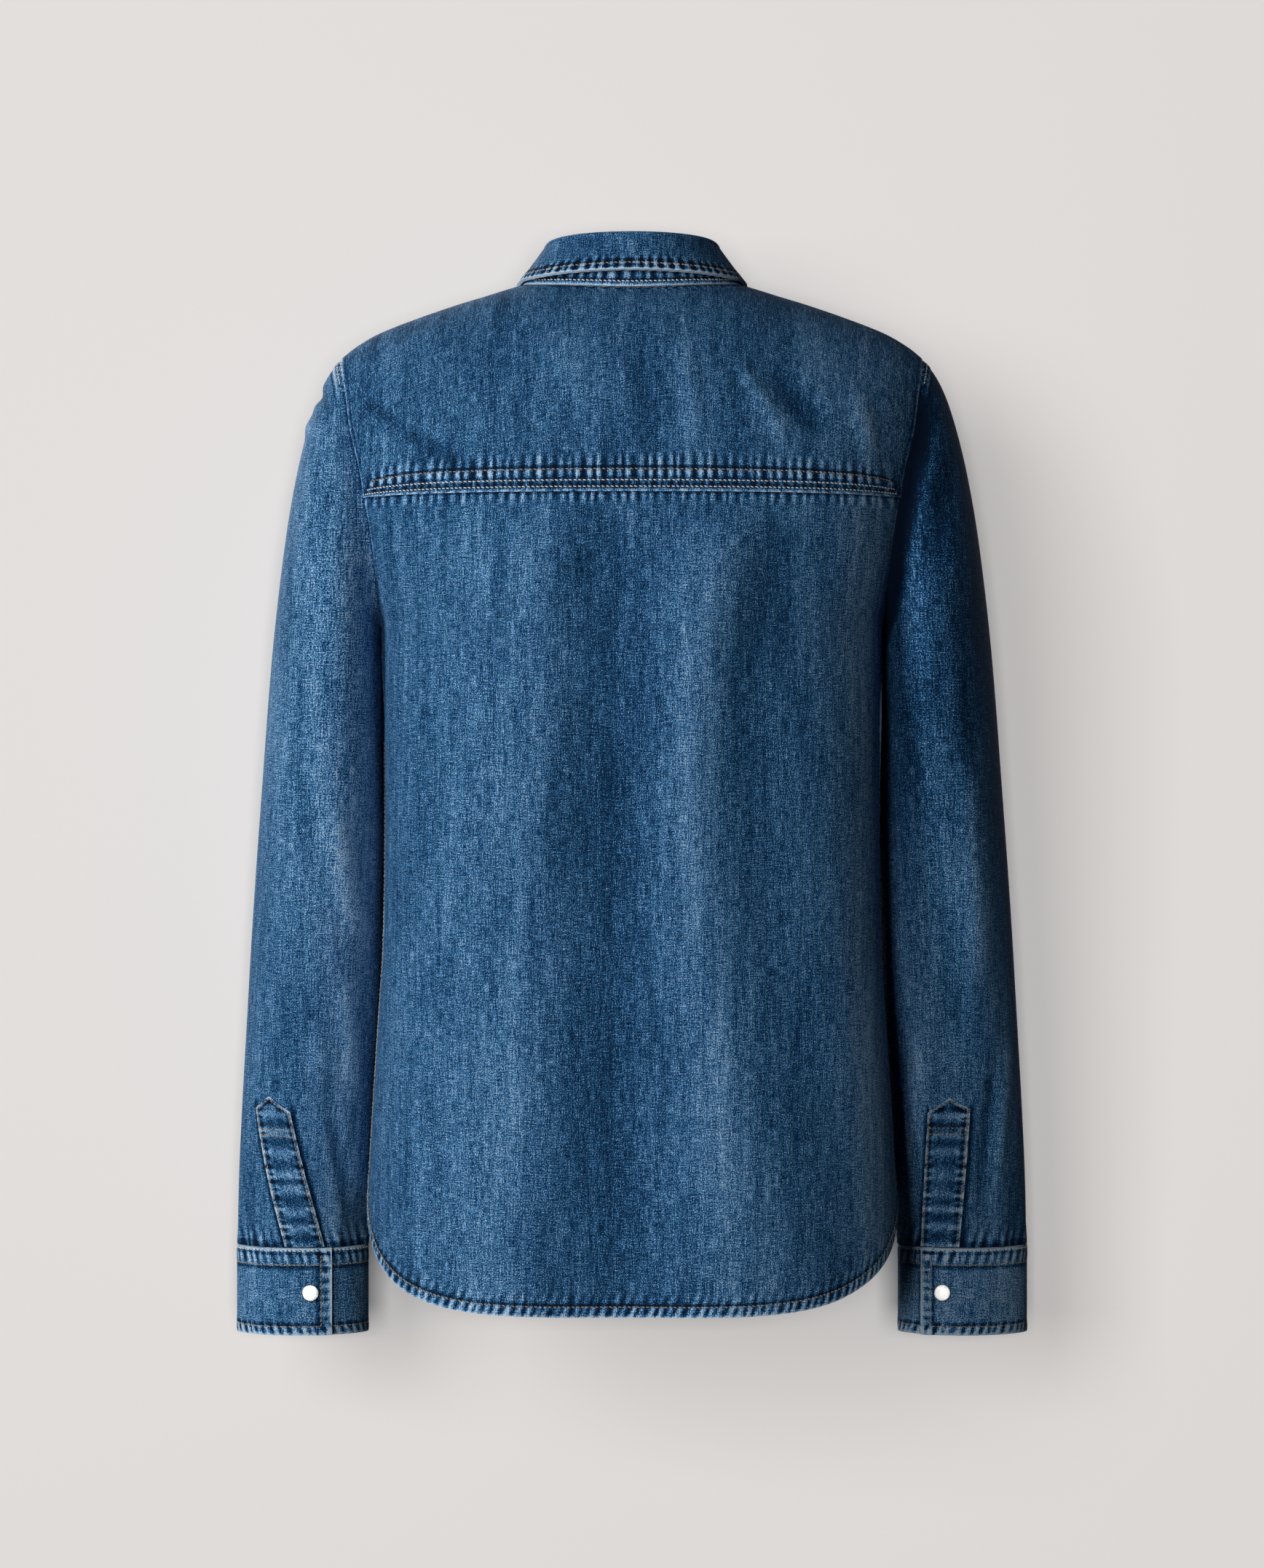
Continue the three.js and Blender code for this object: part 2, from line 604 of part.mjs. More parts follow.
// What the armhole rim differs from the first ring's ellipse, with the lift onto the panels
function rimOffset(turn) {
  const wrapped = ((turn % 360) + 360) % 360;
  const side = wrapped <= 180 ? 1 : -1;
  const rim = rimPoint(wrapped <= 180 ? wrapped : 360 - wrapped, side);
  rim.addScaledVector(bodyNormal(rim), LAY_ON + 0.1);
  const first = sleeveRows[0];
  const outer = new THREE.Vector3(first.outerX, first.midY, first.outerZ);
  const inner = new THREE.Vector3(first.leftX, first.midY, first.innerZ);
  return rim.sub(ringPoint(outer, inner, first.halfDepth, wrapped));
}

function sleevePlace(arm) {
  return placeOf((u, v) => sleevePoint(arm, 360 * u, LAST_RING * v), -arm.side);
}

function sleeve(arm) {
  return clothWall(24, 23, sleevePlace(arm), CLOTH, true);
}

// Cuff: a band that starts at its free edge on the back, goes once round and ends under itself
function cuffPlace(arm) {
  const wholeTurn = 360 + CUFF_OVERLAP_TURN;
  const lapOffset = STIFF_CLOTH + SEAM_GAP;
  const plain = (u, v) => {
    const turn = arm.cuffEdgeTurn - wholeTurn * u;
    const at = (column) => read(sleeveRows, "ring", LAST_RING, column);
    const outer = new THREE.Vector3(at("outerX"), at("midY"), 0);
    const inner = new THREE.Vector3(at(arm.inner), at("midY"), 0);
    const point = ringPoint(outer, inner, at("halfDepth") - 1, turn);
    point.z = lerp(CUFF_TOP_Z, CUFF_BOTTOM_Z, v);
    return point.setX(arm.side * point.x);
  };
  const place = placeOf(plain, arm.side);
  return (u, v) => {
    const { point, out } = place(u, v);
    const past = clamp((wholeTurn * u - CUFF_OVERLAP_TURN) / CUFF_EASE_TURN, 0, 1);
    return { point: point.addScaledVector(out, lapOffset * (1 - smoothstep(past, 0, 1))), out };
  };
}

function cuff(arm) {
  return clothWall(34, 2, cuffPlace(arm), STIFF_CLOTH);
}

// Sleeve placket: a pointed strip that lies on the sleeve above the cuff's opening
function sleevePlacket(arm) {
  const ringAt = (across, v) => {
    const top = arm.placketTopRing - PLACKET_POINT_RINGS * (1 - Math.abs(across));
    return lerp(top, LAST_RING - 0.02, v);
  };
  const onSleeve = placeOf((u, v) => sleevePoint(arm, 360 * u, LAST_RING * v), -arm.side);
  const place = (u, v) => {
    const across = 2 * u - 1;
    const ring = ringAt(across, v);
    const down = (ring - arm.placketTopRing) / (LAST_RING - arm.placketTopRing);
    const turn = lerp(arm.placketTopTurn, arm.placketBottomTurn, down) + across * arm.placketHalfTurn;
    return onSleeve(turn / 360, ring / LAST_RING);
  };
  return clothWall(4, 7, movedOut(place, LAY_ON + PLACKET_SLACK), CLOTH);
}

// A snap's pearl cap, standing on a place of the cloth
function snap({ point, out }, thickness) {
  const profile = [
    new THREE.Vector2(0, 0),
    new THREE.Vector2(SNAP_RADIUS * 0.96, 0),
    new THREE.Vector2(SNAP_RADIUS, SNAP_HEIGHT * 0.3),
    new THREE.Vector2(SNAP_RADIUS * 0.84, SNAP_HEIGHT * 0.68),
    new THREE.Vector2(SNAP_RADIUS * 0.45, SNAP_HEIGHT * 0.95),
    new THREE.Vector2(0, SNAP_HEIGHT),
  ];
  const cap = new THREE.Mesh(new THREE.LatheGeometry(profile, 14), pearl);
  cap.position.copy(point).addScaledVector(out, thickness / 2 + SNAP_CLEARANCE);
  cap.quaternion.setFromUnitVectors(new THREE.Vector3(0, 1, 0), out);
  return cap;
}

const shirt = new THREE.Group();

function add(name, geometry) {
  const mesh = new THREE.Mesh(geometry, denim);
  mesh.name = name;
  shirt.add(mesh);
}

function addSnap(name, place, thickness) {
  const cap = snap(place, thickness);
  cap.name = name;
  shirt.add(cap);
}

add("back_yoke", yoke());
add("back_panel", backPanel());
add("front_left", front(1));
add("front_right", front(-1));
const placket = frontPlacket();
add("front_placket", placket.geometry);
add("collar_stand", collarStand());
add("collar_leaf", collarLeaf());

for (const arm of sleeveRowsBySide) {
  add(`sleeve_${arm.name}`, sleeve(arm));
  add(`sleeve_placket_${arm.name}`, sleevePlacket(arm));
  add(`cuff_${arm.name}`, cuff(arm));
  const along = (arm.cuffEdgeTurn - arm.snapTurn) / (360 + CUFF_OVERLAP_TURN);
  const down = (CUFF_TOP_Z - SNAP_Z_ON_CUFF) / (CUFF_TOP_Z - CUFF_BOTTOM_Z);
  addSnap(`snap_cuff_${arm.name}`, cuffPlace(arm)(along, down), STIFF_CLOTH);
}

const placketTopZ = neckPoint(180, -STIFF_CLOTH).z;
FRONT_SNAP_Z.forEach((z, index) => {
  const down = (placketTopZ - z) / (placketTopZ - HEM_FRONT_Z);
  addSnap(`snap_front_${index + 1}`, placket.place(0.5, down), CLOTH);
});
const standPlace = placeOf((u, v) => standPoint(360 * u, 1 - v));
addSnap("snap_collar", standPlace(0.5, STAND_SNAP_RISE), STIFF_CLOTH);

export default shirt;
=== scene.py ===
import math
import bpy
import numpy as np
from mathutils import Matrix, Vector


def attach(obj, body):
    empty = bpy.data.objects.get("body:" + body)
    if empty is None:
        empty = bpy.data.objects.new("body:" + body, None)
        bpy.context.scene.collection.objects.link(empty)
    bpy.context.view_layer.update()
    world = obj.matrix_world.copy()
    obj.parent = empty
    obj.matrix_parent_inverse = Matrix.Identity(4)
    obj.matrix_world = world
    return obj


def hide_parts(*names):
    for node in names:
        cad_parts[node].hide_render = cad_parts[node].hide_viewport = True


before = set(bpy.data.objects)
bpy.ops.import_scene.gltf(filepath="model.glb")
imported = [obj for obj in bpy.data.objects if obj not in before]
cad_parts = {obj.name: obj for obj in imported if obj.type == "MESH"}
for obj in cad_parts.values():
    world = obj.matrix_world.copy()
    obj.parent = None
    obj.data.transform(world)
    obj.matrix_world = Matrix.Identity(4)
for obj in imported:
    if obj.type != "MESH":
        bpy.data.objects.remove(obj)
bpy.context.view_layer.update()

# View: square on to the back of the shirt from three metres away. The picture is 806 mm wide at
# the shirt's middle, and its centre is 317 mm below the tops of the shoulders.
bpy.ops.object.select_all(action="DESELECT")
view_distance = 3.0
view_height = -0.3167
picture_width = 0.806
bpy.ops.object.camera_add(location=(0, view_distance, view_height))
camera = bpy.context.object
camera.rotation_euler = (math.radians(90), 0, math.radians(180))
camera.data.sensor_fit = "HORIZONTAL"
camera.data.sensor_width = 36
camera.data.lens = camera.data.sensor_width * view_distance / picture_width
bpy.context.scene.camera = camera


def linear(hex_colour):
    """An sRGB hex colour as linear red, green, blue and an alpha of 1."""
    channels = [int(hex_colour[i:i + 2], 16) / 255 for i in (1, 3, 5)]
    return [c / 12.92 if c <= 0.04045 else ((c + 0.055) / 1.055) ** 2.4 for c in channels] + [1]


def new_material(name):
    """A material with an empty node tree and its Principled shader and output."""
    material = bpy.data.materials.new(name)
    material.use_nodes = True
    return material, material.node_tree.nodes["Principled BSDF"]


def add_node(material, kind, inputs, **settings):
    """A node with its settings, and each input as a value or a link from another node's socket."""
    made = material.node_tree.nodes.new(kind)
    for name, value in settings.items():
        setattr(made, name, value)
    for name, value in inputs.items():
        if isinstance(value, bpy.types.NodeSocket):
            material.node_tree.links.new(value, made.inputs[name])
        else:
            made.inputs[name].default_value = value
    return made


# Studio: a pale wall close behind the shirt that takes its soft shadow, and a pale floor far
# below. The wall is painted paper, seen from its front only, so that other views see past it.
# The shirt and the wall have lamps of their own, so that each gets its soft light.
wall_y = -0.15
floor_z = -1.45
paper, paper_shader = new_material("painted_paper")
paper_shader.inputs["Base Color"].default_value = linear("#e0dcd9")
paper_shader.inputs["Roughness"].default_value = 0.95
paper_shader.inputs["Specular IOR Level"].default_value = 0.1
side_seen = add_node(paper, "ShaderNodeNewGeometry", {})
gone = add_node(paper, "ShaderNodeBsdfTransparent", {})
one_sided = add_node(paper, "ShaderNodeMixShader", {
    0: side_seen.outputs["Backfacing"],
    1: paper_shader.outputs["BSDF"],
    2: gone.outputs["BSDF"],
})
paper_end = paper.node_tree.nodes["Material Output"]
paper.node_tree.links.new(one_sided.outputs["Shader"], paper_end.inputs["Surface"])

room_size = 6
bpy.ops.mesh.primitive_plane_add(
    size=room_size, location=(0, wall_y, floor_z + room_size / 2), rotation=(math.radians(-90), 0, 0),
)
wall = bpy.context.object
wall.name = "wall"
wall.data.materials.append(paper)
bpy.ops.mesh.primitive_plane_add(size=room_size, location=(0, wall_y + room_size / 2, floor_z))
floor = bpy.context.object
floor.name = "floor"
floor.data.materials.append(paper)

shirt_side = bpy.data.collections.new("lit_by_shirt_lamps")
wall_side = bpy.data.collections.new("lit_by_wall_lamp")
wall_side.objects.link(wall)
wall_side.objects.link(floor)
lamp_rows = [
    # name, place, aim, width, height, watts, whether it lights the wall
    ("key_lamp", (1.9, 1.6, 0.1), (0, 0, -0.3), 0.7, 1.2, 37, False),
    ("fill_lamp", (0.9, 3.2, 0.1), (0, 0, -0.3), 0.7, 0.7, 30, False),
    ("front_lamp", (1.2, -2.6, 0.9), (0, 0, -0.3), 1.6, 1.6, 55, False),
    ("wall_lamp", (0, 7, -0.3167), (0, 0, -0.3167), 1.4, 1.4, 335, True),
    ("shadow_lamp", (2.8, 6.0, 0.9), (0, 0, -0.3), 3.2, 3.2, 190, True),
]
for name, place, aim, width, height, watts, for_wall in lamp_rows:
    bpy.ops.object.light_add(type="AREA", location=place)
    lamp = bpy.context.object
    lamp.name = name
    lamp.data.shape = "RECTANGLE"
    lamp.data.size = width
    lamp.data.size_y = height
    lamp.data.energy = watts
    lamp.rotation_euler = (Vector(aim) - Vector(place)).to_track_quat("-Z", "Y").to_euler()
    lamp.light_linking.receiver_collection = wall_side if for_wall else shirt_side
wall.visible_diffuse = False
wall.visible_shadow = False
floor.visible_diffuse = False
world = bpy.data.worlds.new("pale_room")
world.use_nodes = True
world.node_tree.nodes["Background"].inputs["Color"].default_value = linear("#e4e4e6")
world.node_tree.nodes["Background"].inputs["Strength"].default_value = 0.01
bpy.context.scene.world = world
bpy.context.scene.view_settings.view_transform = "Standard"

# Yoke: one piece of washed indigo denim over both shoulders, felled to the back and the fronts.
# Its back seam lies raised over its folded edges, with three rows of stitching and hard puckers.
roll_back = 110
roll_front = 190
side_gap = 0.2
cloth = 1.2
seam_gap = 0.15
ridge_rows = [
    # distance from the middle, height, in mm
    (-35, 7), (0, 9), (35, 7), (70.5, 0), (94, -7), (110, -11.8), (135, -20.3),
    (160.5, -30.2), (175, -38.5), (184.5, -46), (200, -60),
]
body_rows = [
    # height, half width, depth at the back, depth in front, in mm, and the power of the section
    (-680, 168.5, 118, 117, 2.9), (-600, 167.3, 114, 114, 2.9), (-566, 166.2, 112, 112, 2.9),
    (-527, 164, 109, 110, 2.9), (-472, 160.5, 105, 107, 2.9), (-420, 157.2, 102, 105, 2.9),
    (-350, 156, 104, 108, 2.9), (-273, 156.5, 110, 114, 2.75), (-240, 157.2, 112, 116, 2.55),
    (-215, 158.8, 113, 116, 2.4), (-200, 162.5, 113, 116, 2.4), (-175, 168.6, 112, 115, 2.4),
    (-137, 177.6, 110, 112, 2.4), (-117, 182, 108, 110, 2.4), (-95, 188, 106, 109, 2.4),
    (-72, 192, 103, 107, 2.4), (-46, 196, 101, 106, 2.4), (60, 197, 101, 105, 2.4),
]
neck_half_width = 70.5
neck_back = 50
neck_front = 74
neck_clearance = 0.3
yoke_seam_z = -137
yoke_front_neck_turn = 112
yoke_front_rim_turn = 62
underarm_drop = 186
rim_half_depth = {True: 52, False: 50}
rim_top_taper = {True: 0.22, False: 0.352}


def read(rows, at, column=1):
    """A smooth curve through a table's column, read at values of its first column."""
    keys = np.array([row[0] for row in rows], float)
    values = np.array([row[column] for row in rows], float)
    at = np.clip(at, keys[0], keys[-1])
    i = np.clip(np.searchsorted(keys, at, side="right") - 1, 0, len(keys) - 2)
    before = np.maximum(np.arange(len(keys)) - 1, 0)
    after = np.minimum(np.arange(len(keys)) + 1, len(keys) - 1)
    slope = (values[after] - values[before]) / (keys[after] - keys[before])
    step = keys[i + 1] - keys[i]
    t = (at - keys[i]) / step
    bend = step * (t * (1 - t) ** 2 * slope[i] - t * t * (1 - t) * slope[i + 1])
    return (1 + 2 * t) * (1 - t) ** 2 * values[i] + t * t * (3 - 2 * t) * values[i + 1] + bend


def mix(start, end, share):
    return start + (end - start) * share


def sine(turn):
    return np.sin(np.radians(turn))


def cosine(turn):
    return np.cos(np.radians(turn))


def ridge(x):
    return read(ridge_rows, np.abs(x))


def fill(drop, back):
    """How far the body's depth has filled out at a drop below the shoulder ridge, 0 to 1."""
    share = np.clip(drop / np.where(back, roll_back, roll_front), 0, 1)
    return np.sqrt(1 - (1 - share) ** 2)


def depth(z, back):
    return np.where(back, read(body_rows, z, 2), read(body_rows, z, 3))


def power(z):
    """How square the body's section is: 2 is an ellipse."""
    return read(body_rows, z, 4)


def narrowing(x, z):
    share = np.abs(x) / read(body_rows, z)
    return np.maximum(0, 1 - share ** power(z)) ** (1 / power(z))


def body_normal(points):
    """Straight out of the body's surface."""
    def outsideness(x, y, z):
        back = y >= 0
        return (y / depth(z, back)) ** 2 - (fill(ridge(x) - z, back) * narrowing(x, z)) ** 2
    x, y, z = points[..., 0], points[..., 1], points[..., 2]
    h = 0.2
    out = np.stack([
        outsideness(x + h, y, z) - outsideness(x - h, y, z),
        outsideness(x, y + h, z) - outsideness(x, y - h, z),
        outsideness(x, y, z + h) - outsideness(x, y, z - h),
    ], -1)
    return out / np.linalg.norm(out, axis=-1, keepdims=True)


def shoulder_point(x, root):
    """A body point by x and the root of its drop below the ridge, which is under 0 in front."""
    back = root >= 0
    z = ridge(x) - root * root
    y = np.where(back, 1, -1) * depth(z, back) * narrowing(x, z) * fill(root * root, back)
    return np.stack([x + 0 * y, y, z], -1)


def neck_chart(turn, inset):
    """The neck curve as x and root, turned from the middle of the back to the wearer's left."""
    x = (neck_half_width - inset) * sine(turn)
    back = cosine(turn) >= 0
    y = np.where(back, neck_back - inset, neck_front - inset) * cosine(turn)
    z = ridge(x)
    for _ in range(4):
        filled = np.clip(np.abs(y) / (depth(z, back) * narrowing(x, z)), 0, 1)
        drop = np.where(back, roll_back, roll_front) * (1 - np.sqrt(1 - filled ** 2))
        z = ridge(x) - drop
    return x, np.where(back, 1, -1) * np.sqrt(drop)


def rim_chart(turn, back):
    """The left armhole rim as x and root, turned from the shoulder tip (0) to the underarm."""
    turn = np.clip(turn, 0.5, 179.99)
    taper = 1 - rim_top_taper[back] * cosine(turn / 2) ** 2
    y = rim_half_depth[back] * sine(turn) * taper
    root = math.sqrt(underarm_drop) * sine(turn / 2)
    x = 175 + 0 * turn
    for _ in range(6):
        z = ridge(x) - root * root
        share = np.clip(y / (depth(z, back) * fill(root * root, back)), 0, 1)
        x = read(body_rows, z) * (1 - share ** power(z)) ** (1 / power(z))
    return x, root if back else -root


def rim_turn_at(z, back):
    turns = np.linspace(1, 179, 2000)
    heights = shoulder_point(*rim_chart(turns, back))[:, 2]
    return float(turns[np.argmin(np.abs(heights - z))])


def cumulative(points, axis):
    """Distance along the grid lines of one axis, from 0 at their start."""
    steps = np.linalg.norm(np.diff(points, axis=axis), axis=-1)
    start = np.zeros_like(np.take(steps, [0], axis=axis))
    return np.concatenate([start, np.cumsum(steps, axis=axis)], axis=axis)


def bump(distance, half_width):
    """A smooth hump of height 1 that is 0 from half_width on."""
    return np.maximum(0, 1 - (distance / half_width) ** 2) ** 2


def ease(value, start, end):
    """0 before start, 1 after end, smooth between."""
    t = np.clip((value - start) / (end - start), 0, 1)
    return t * t * (3 - 2 * t)


def puckers(along, pitch, seed):
    """Uneven ripples along a seam, from -1 in the valleys to 1 on the ridges."""
    draw = np.random.default_rng(seed)
    centres = np.arange(along.min() - 3 * pitch, along.max() + 3 * pitch, pitch)
    count = len(centres)
    centres = centres + draw.uniform(-0.27, 0.27, count) * pitch
    strength = np.interp(along, centres, draw.uniform(0.45, 1, count))
    return strength * np.cos(2 * np.pi * np.interp(along, centres, np.arange(count)))


def edge_wear_and_painted_shade(distance, along, seed):
    """A folded edge, rubbed pale in patches on the fold, with painted shade just inside it by the stitching.
    """
    patches = 0.6 + 0.4 * puckers(along, 8, seed)
    return 2.6 * patches * bump(distance, 2) - 1.1 * bump(distance - 3.2, 1.6)


def steps_between(*stops):
    """Values from stop to stop: each stop is a value and the count of steps that lead to it."""
    values = [np.array([stops[0]])]
    for value, count in stops[1:]:
        values.append(np.linspace(values[-1][-1], value, count + 1)[1:])
    return np.concatenate(values)


same_place = 0.00005
smooth_below = math.radians(55)


def cloth_piece(name, across, down, place, relief, flip=1, closed=False,
                middle=None, thickness=cloth, grain=None):
    """A piece of denim: a grid laid on its form in mm, raised by its relief, with a thin wall.

    relief gives the height and the tone at each point from the distances to the four edges: washed paling,
    painted shade and painted light."""
    u, v = np.meshgrid(across, down)
    points = place(u, v)
    if closed:
        wrapped = np.concatenate([points[:, -2:-1], points, points[:, 1:2]], axis=1)
        slope_across = np.gradient(wrapped, axis=1)[:, 1:-1]
    else:
        slope_across = np.gradient(points, axis=1)
    out = np.cross(slope_across, np.gradient(points, axis=0)) * flip
    out /= np.linalg.norm(out, axis=-1, keepdims=True)
    along_u = cumulative(points, 1)
    along_v = cumulative(points, 0)
    edges = {
        "left": along_u, "right": along_u[:, -1:] - along_u,
        "top": along_v, "bottom": along_v[-1:] - along_v,
    }
    height, wear_and_painted_light = relief(u, v, points, edges)
    points = points + out * height[..., None]

    bpy.ops.object.select_all(action="DESELECT")
    bpy.ops.mesh.primitive_grid_add(
        x_subdivisions=len(across) - 1, y_subdivisions=len(down) - 1, size=1,
    )
    piece = bpy.context.object
    piece.name = name
    mesh = piece.data
    mesh.name = name
    mesh.vertices.foreach_set("co", points.reshape(-1) * 0.001)
    corner = np.zeros(len(mesh.loops), int)
    mesh.loops.foreach_get("vertex_index", corner)
    thread_u, thread_v = (along_u, along_v) if grain is None else grain(u, v, points)
    if middle is not None:
        column = int(np.argmin(np.abs(across - middle)))
        thread_u = thread_u - thread_u[:, column:column + 1]
    weave = np.stack([thread_u, -thread_v], -1).reshape(-1, 2)[corner]
    mesh.uv_layers[0].name = "weave_mm"
    mesh.uv_layers[0].data.foreach_set("uv", weave.reshape(-1))
    worn_and_painted_light = mesh.attributes.new("wear_and_painted_light", "FLOAT", "POINT")
    wear_and_painted_light = np.broadcast_to(wear_and_painted_light, u.shape).astype(np.float32)
    worn_and_painted_light.data.foreach_set("value", wear_and_painted_light.reshape(-1))
    if flip < 0:
        mesh.flip_normals()
    if closed:
        bpy.ops.object.mode_set(mode="EDIT")
        bpy.ops.mesh.select_all(action="SELECT")
        bpy.ops.mesh.remove_doubles(threshold=same_place)
        bpy.ops.object.mode_set(mode="OBJECT")
    mesh.materials.append(denim_face)
    mesh.materials.append(denim_inside)
    wall_modifier = piece.modifiers.new("cloth_wall", "SOLIDIFY")
    wall_modifier.thickness = thickness * 0.001
    wall_modifier.offset = 0
    wall_modifier.material_offset = 1
    bpy.ops.object.modifier_apply(modifier=wall_modifier.name)
    bpy.ops.object.shade_smooth_by_angle(angle=smooth_below)
    across_steps, down_steps = np.diff(points, axis=1), np.diff(points, axis=0)
    cell = 0.5 * np.linalg.norm(np.cross(across_steps[:-1], down_steps[:, :-1]), axis=-1)
    cell += 0.5 * np.linalg.norm(np.cross(across_steps[1:], down_steps[:, 1:]), axis=-1)
    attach(piece, "root")
    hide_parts(name)
    shirt_side.objects.link(piece)
    return {"u": u, "v": v, "edges": edges, "out": out, "face": points + out * thickness / 2}


# The denim itself: rope-dyed indigo warp over an undyed weft, stone washed, so its high threads
# are pale and its valleys dark. Streaks run along the warp, and finer lines along the weft. Single
# threads are drawn about twice as wide as real ones, so that they show from three metres.
def denim_material(name, dark, middle, light, palest):
    material, shader = new_material(name)
    thread_places = add_node(material, "ShaderNodeUVMap", {}, uv_map="weave_mm")
    tone = None
    pattern_rows = [
        # width and length of a mark in mm, detail, strength
        (0.65, 0.8, 1, 1.35),
        (0.7, 9, 1, 0.56),
        (8, 0.7, 1, 0.46),
        (3.2, 40, 1, 0.22),
        (10, 110, 2, 0.2),
        (32, 150, 2, 0.2),
    ]
    total = sum(row[3] for row in pattern_rows)
    for width, length, detail, strength in pattern_rows:
        mapping = add_node(material, "ShaderNodeMapping", {
            "Vector": thread_places.outputs["UV"],
            "Location": (7.3 * width, 3.1 * length, 0),
            "Scale": (1 / width, 1 / length, 1),
        })
        noise = add_node(material, "ShaderNodeTexNoise", {
            "Vector": mapping.outputs["Vector"], "Scale": 1, "Detail": detail, "Roughness": 0.6,
        }, noise_dimensions="2D")
        added = add_node(material, "ShaderNodeMath", {
            0: noise.outputs["Fac"], 1: strength,
            2: 0.5 - total / 2 if tone is None else tone.outputs["Value"],
        }, operation="MULTIPLY_ADD")
        tone = added
    # Each point's tone from its piece: paled where washing rubbed the cloth, with painted shade and painted
    # light that stand in for the lamps.
    wear_and_painted_light = add_node(material, "ShaderNodeAttribute", {}, attribute_name="wear_and_painted_light")
    worn_and_painted_light = add_node(material, "ShaderNodeMath", {
        0: wear_and_painted_light.outputs["Fac"], 1: 0.24, 2: tone.outputs["Value"],
    }, operation="MULTIPLY_ADD")
    ramp = add_node(material, "ShaderNodeValToRGB", {"Fac": worn_and_painted_light.outputs["Value"]})
    ramp.color_ramp.elements[0].position = 0.2
    ramp.color_ramp.elements[0].color = linear(dark)
    ramp.color_ramp.elements[1].position = 0.5
    ramp.color_ramp.elements[1].color = linear(middle)
    ramp.color_ramp.elements.new(0.8).color = linear(light)
    ramp.color_ramp.elements.new(0.98).color = linear(palest)
    raised = add_node(material, "ShaderNodeBump", {
        "Strength": 0.5, "Distance": 0.0003, "Height": tone.outputs["Value"],
    })
    material.node_tree.links.new(ramp.outputs["Color"], shader.inputs["Base Color"])
    material.node_tree.links.new(raised.outputs["Normal"], shader.inputs["Normal"])
    shader.inputs["Roughness"].default_value = 0.88
    shader.inputs["Specular IOR Level"].default_value = 0.15
    return material


denim_face = denim_material("washed_indigo_denim", "#00142c", "#0f4a78", "#69a6da", "#cbe0f1")
denim_inside = denim_material("denim_wrong_side", "#4d6478", "#8497a8", "#b3bfc9", "#d5dbe0")

rim_columns = 50
seam_columns = 230
yoke_back_turn = rim_turn_at(yoke_seam_z, True)
yoke_corner_x = float(shoulder_point(*rim_chart(np.array(yoke_back_turn), True))[0])
neck_corner_turn = 52
rim_part = 0.25


def yoke_chart(u, v):
    """The yoke as x and root: u runs along its outer edge from front to front, v out from the neck."""
    mirror = np.where(u > 1 - rim_part, -1, 1)
    u = np.where(mirror < 0, 1 - u, u)
    on_rim = u <= rim_part
    rim_share = np.clip(u / rim_part, 0, 1)
    seam_share = (u - rim_part) / (1 - 2 * rim_part)
    turn = mix(-yoke_front_rim_turn, yoke_back_turn, rim_share)
    front_x, front_root = rim_chart(-turn, False)
    back_x, back_root = rim_chart(turn, True)
    seam_x = mix(yoke_corner_x, -yoke_corner_x, seam_share)
    x = np.where(on_rim, np.where(turn < 0, front_x, back_x), seam_x)
    seam_root = np.sqrt(ridge(seam_x) - yoke_seam_z - seam_gap)
    root = np.where(on_rim, np.where(turn < 0, front_root, back_root), seam_root)
    neck_turn = np.where(
        on_rim, mix(yoke_front_neck_turn, neck_corner_turn, rim_share),
        mix(neck_corner_turn, -neck_corner_turn, seam_share),
    )
    neck_x, neck_root = neck_chart(neck_turn, -neck_clearance)
    return mirror * mix(neck_x, x, v), mix(neck_root, root, v)


def yoke_place(u, v):
    return shoulder_point(*yoke_chart(u, v))


def yoke_grain(u, v, points):
    """Straight grain: threads by x, and by the distance over the shoulder from the ridge."""
    x, root = yoke_chart(u, v)
    shares = np.linspace(0, 1, 13)[:, None, None]
    path = shoulder_point(x + 0 * shares, root * shares)
    over = np.linalg.norm(np.diff(path, axis=0), axis=-1).sum(axis=0)
    return x, np.sign(root) * over


yoke_crease_rows = [
    # start x and z, end x and z, half width, rise, in mm
    (170, -72, 139, -101, 9, -2.2), (139, -101, 98, -122, 9, -2.4), (150, -118, 104, -132, 7, 1.4),
    (-84, -58, -122, -100, 15, -2.6), (-62, -50, -98, -110, 9, 1.2), (-140, -70, -150, -120, 10, 1.4),
    (120, -30, 160, -52, 8, 0.8), (60, -30, 20, -90, 14, 1), (0, -30, -14, -118, 12, -1),
    (-30, -40, -44, -120, 10, 0.9), (172, -50, 158, -62, 4, 1), (180, -60, 160, -68, 4, -0.9),
]


def creases(points, rows):
    """Height of single soft creases, each straight between two places as seen from behind."""
    x, z = points[..., 0], points[..., 2]
    height = 0 * x
    for start_x, start_z, end_x, end_z, half_width, rise in rows:
        length = math.hypot(end_x - start_x, end_z - start_z)
        along = ((x - start_x) * (end_x - start_x) + (z - start_z) * (end_z - start_z)) / length
        beside = ((x - start_x) * (end_z - start_z) - (z - start_z) * (end_x - start_x)) / length
        fade = ease(along, -half_width, 2 * half_width) * ease(length - along, -half_width, 2 * half_width)
        height = height + rise * fade * bump(beside, half_width)
    return height * (points[..., 1] > 0)


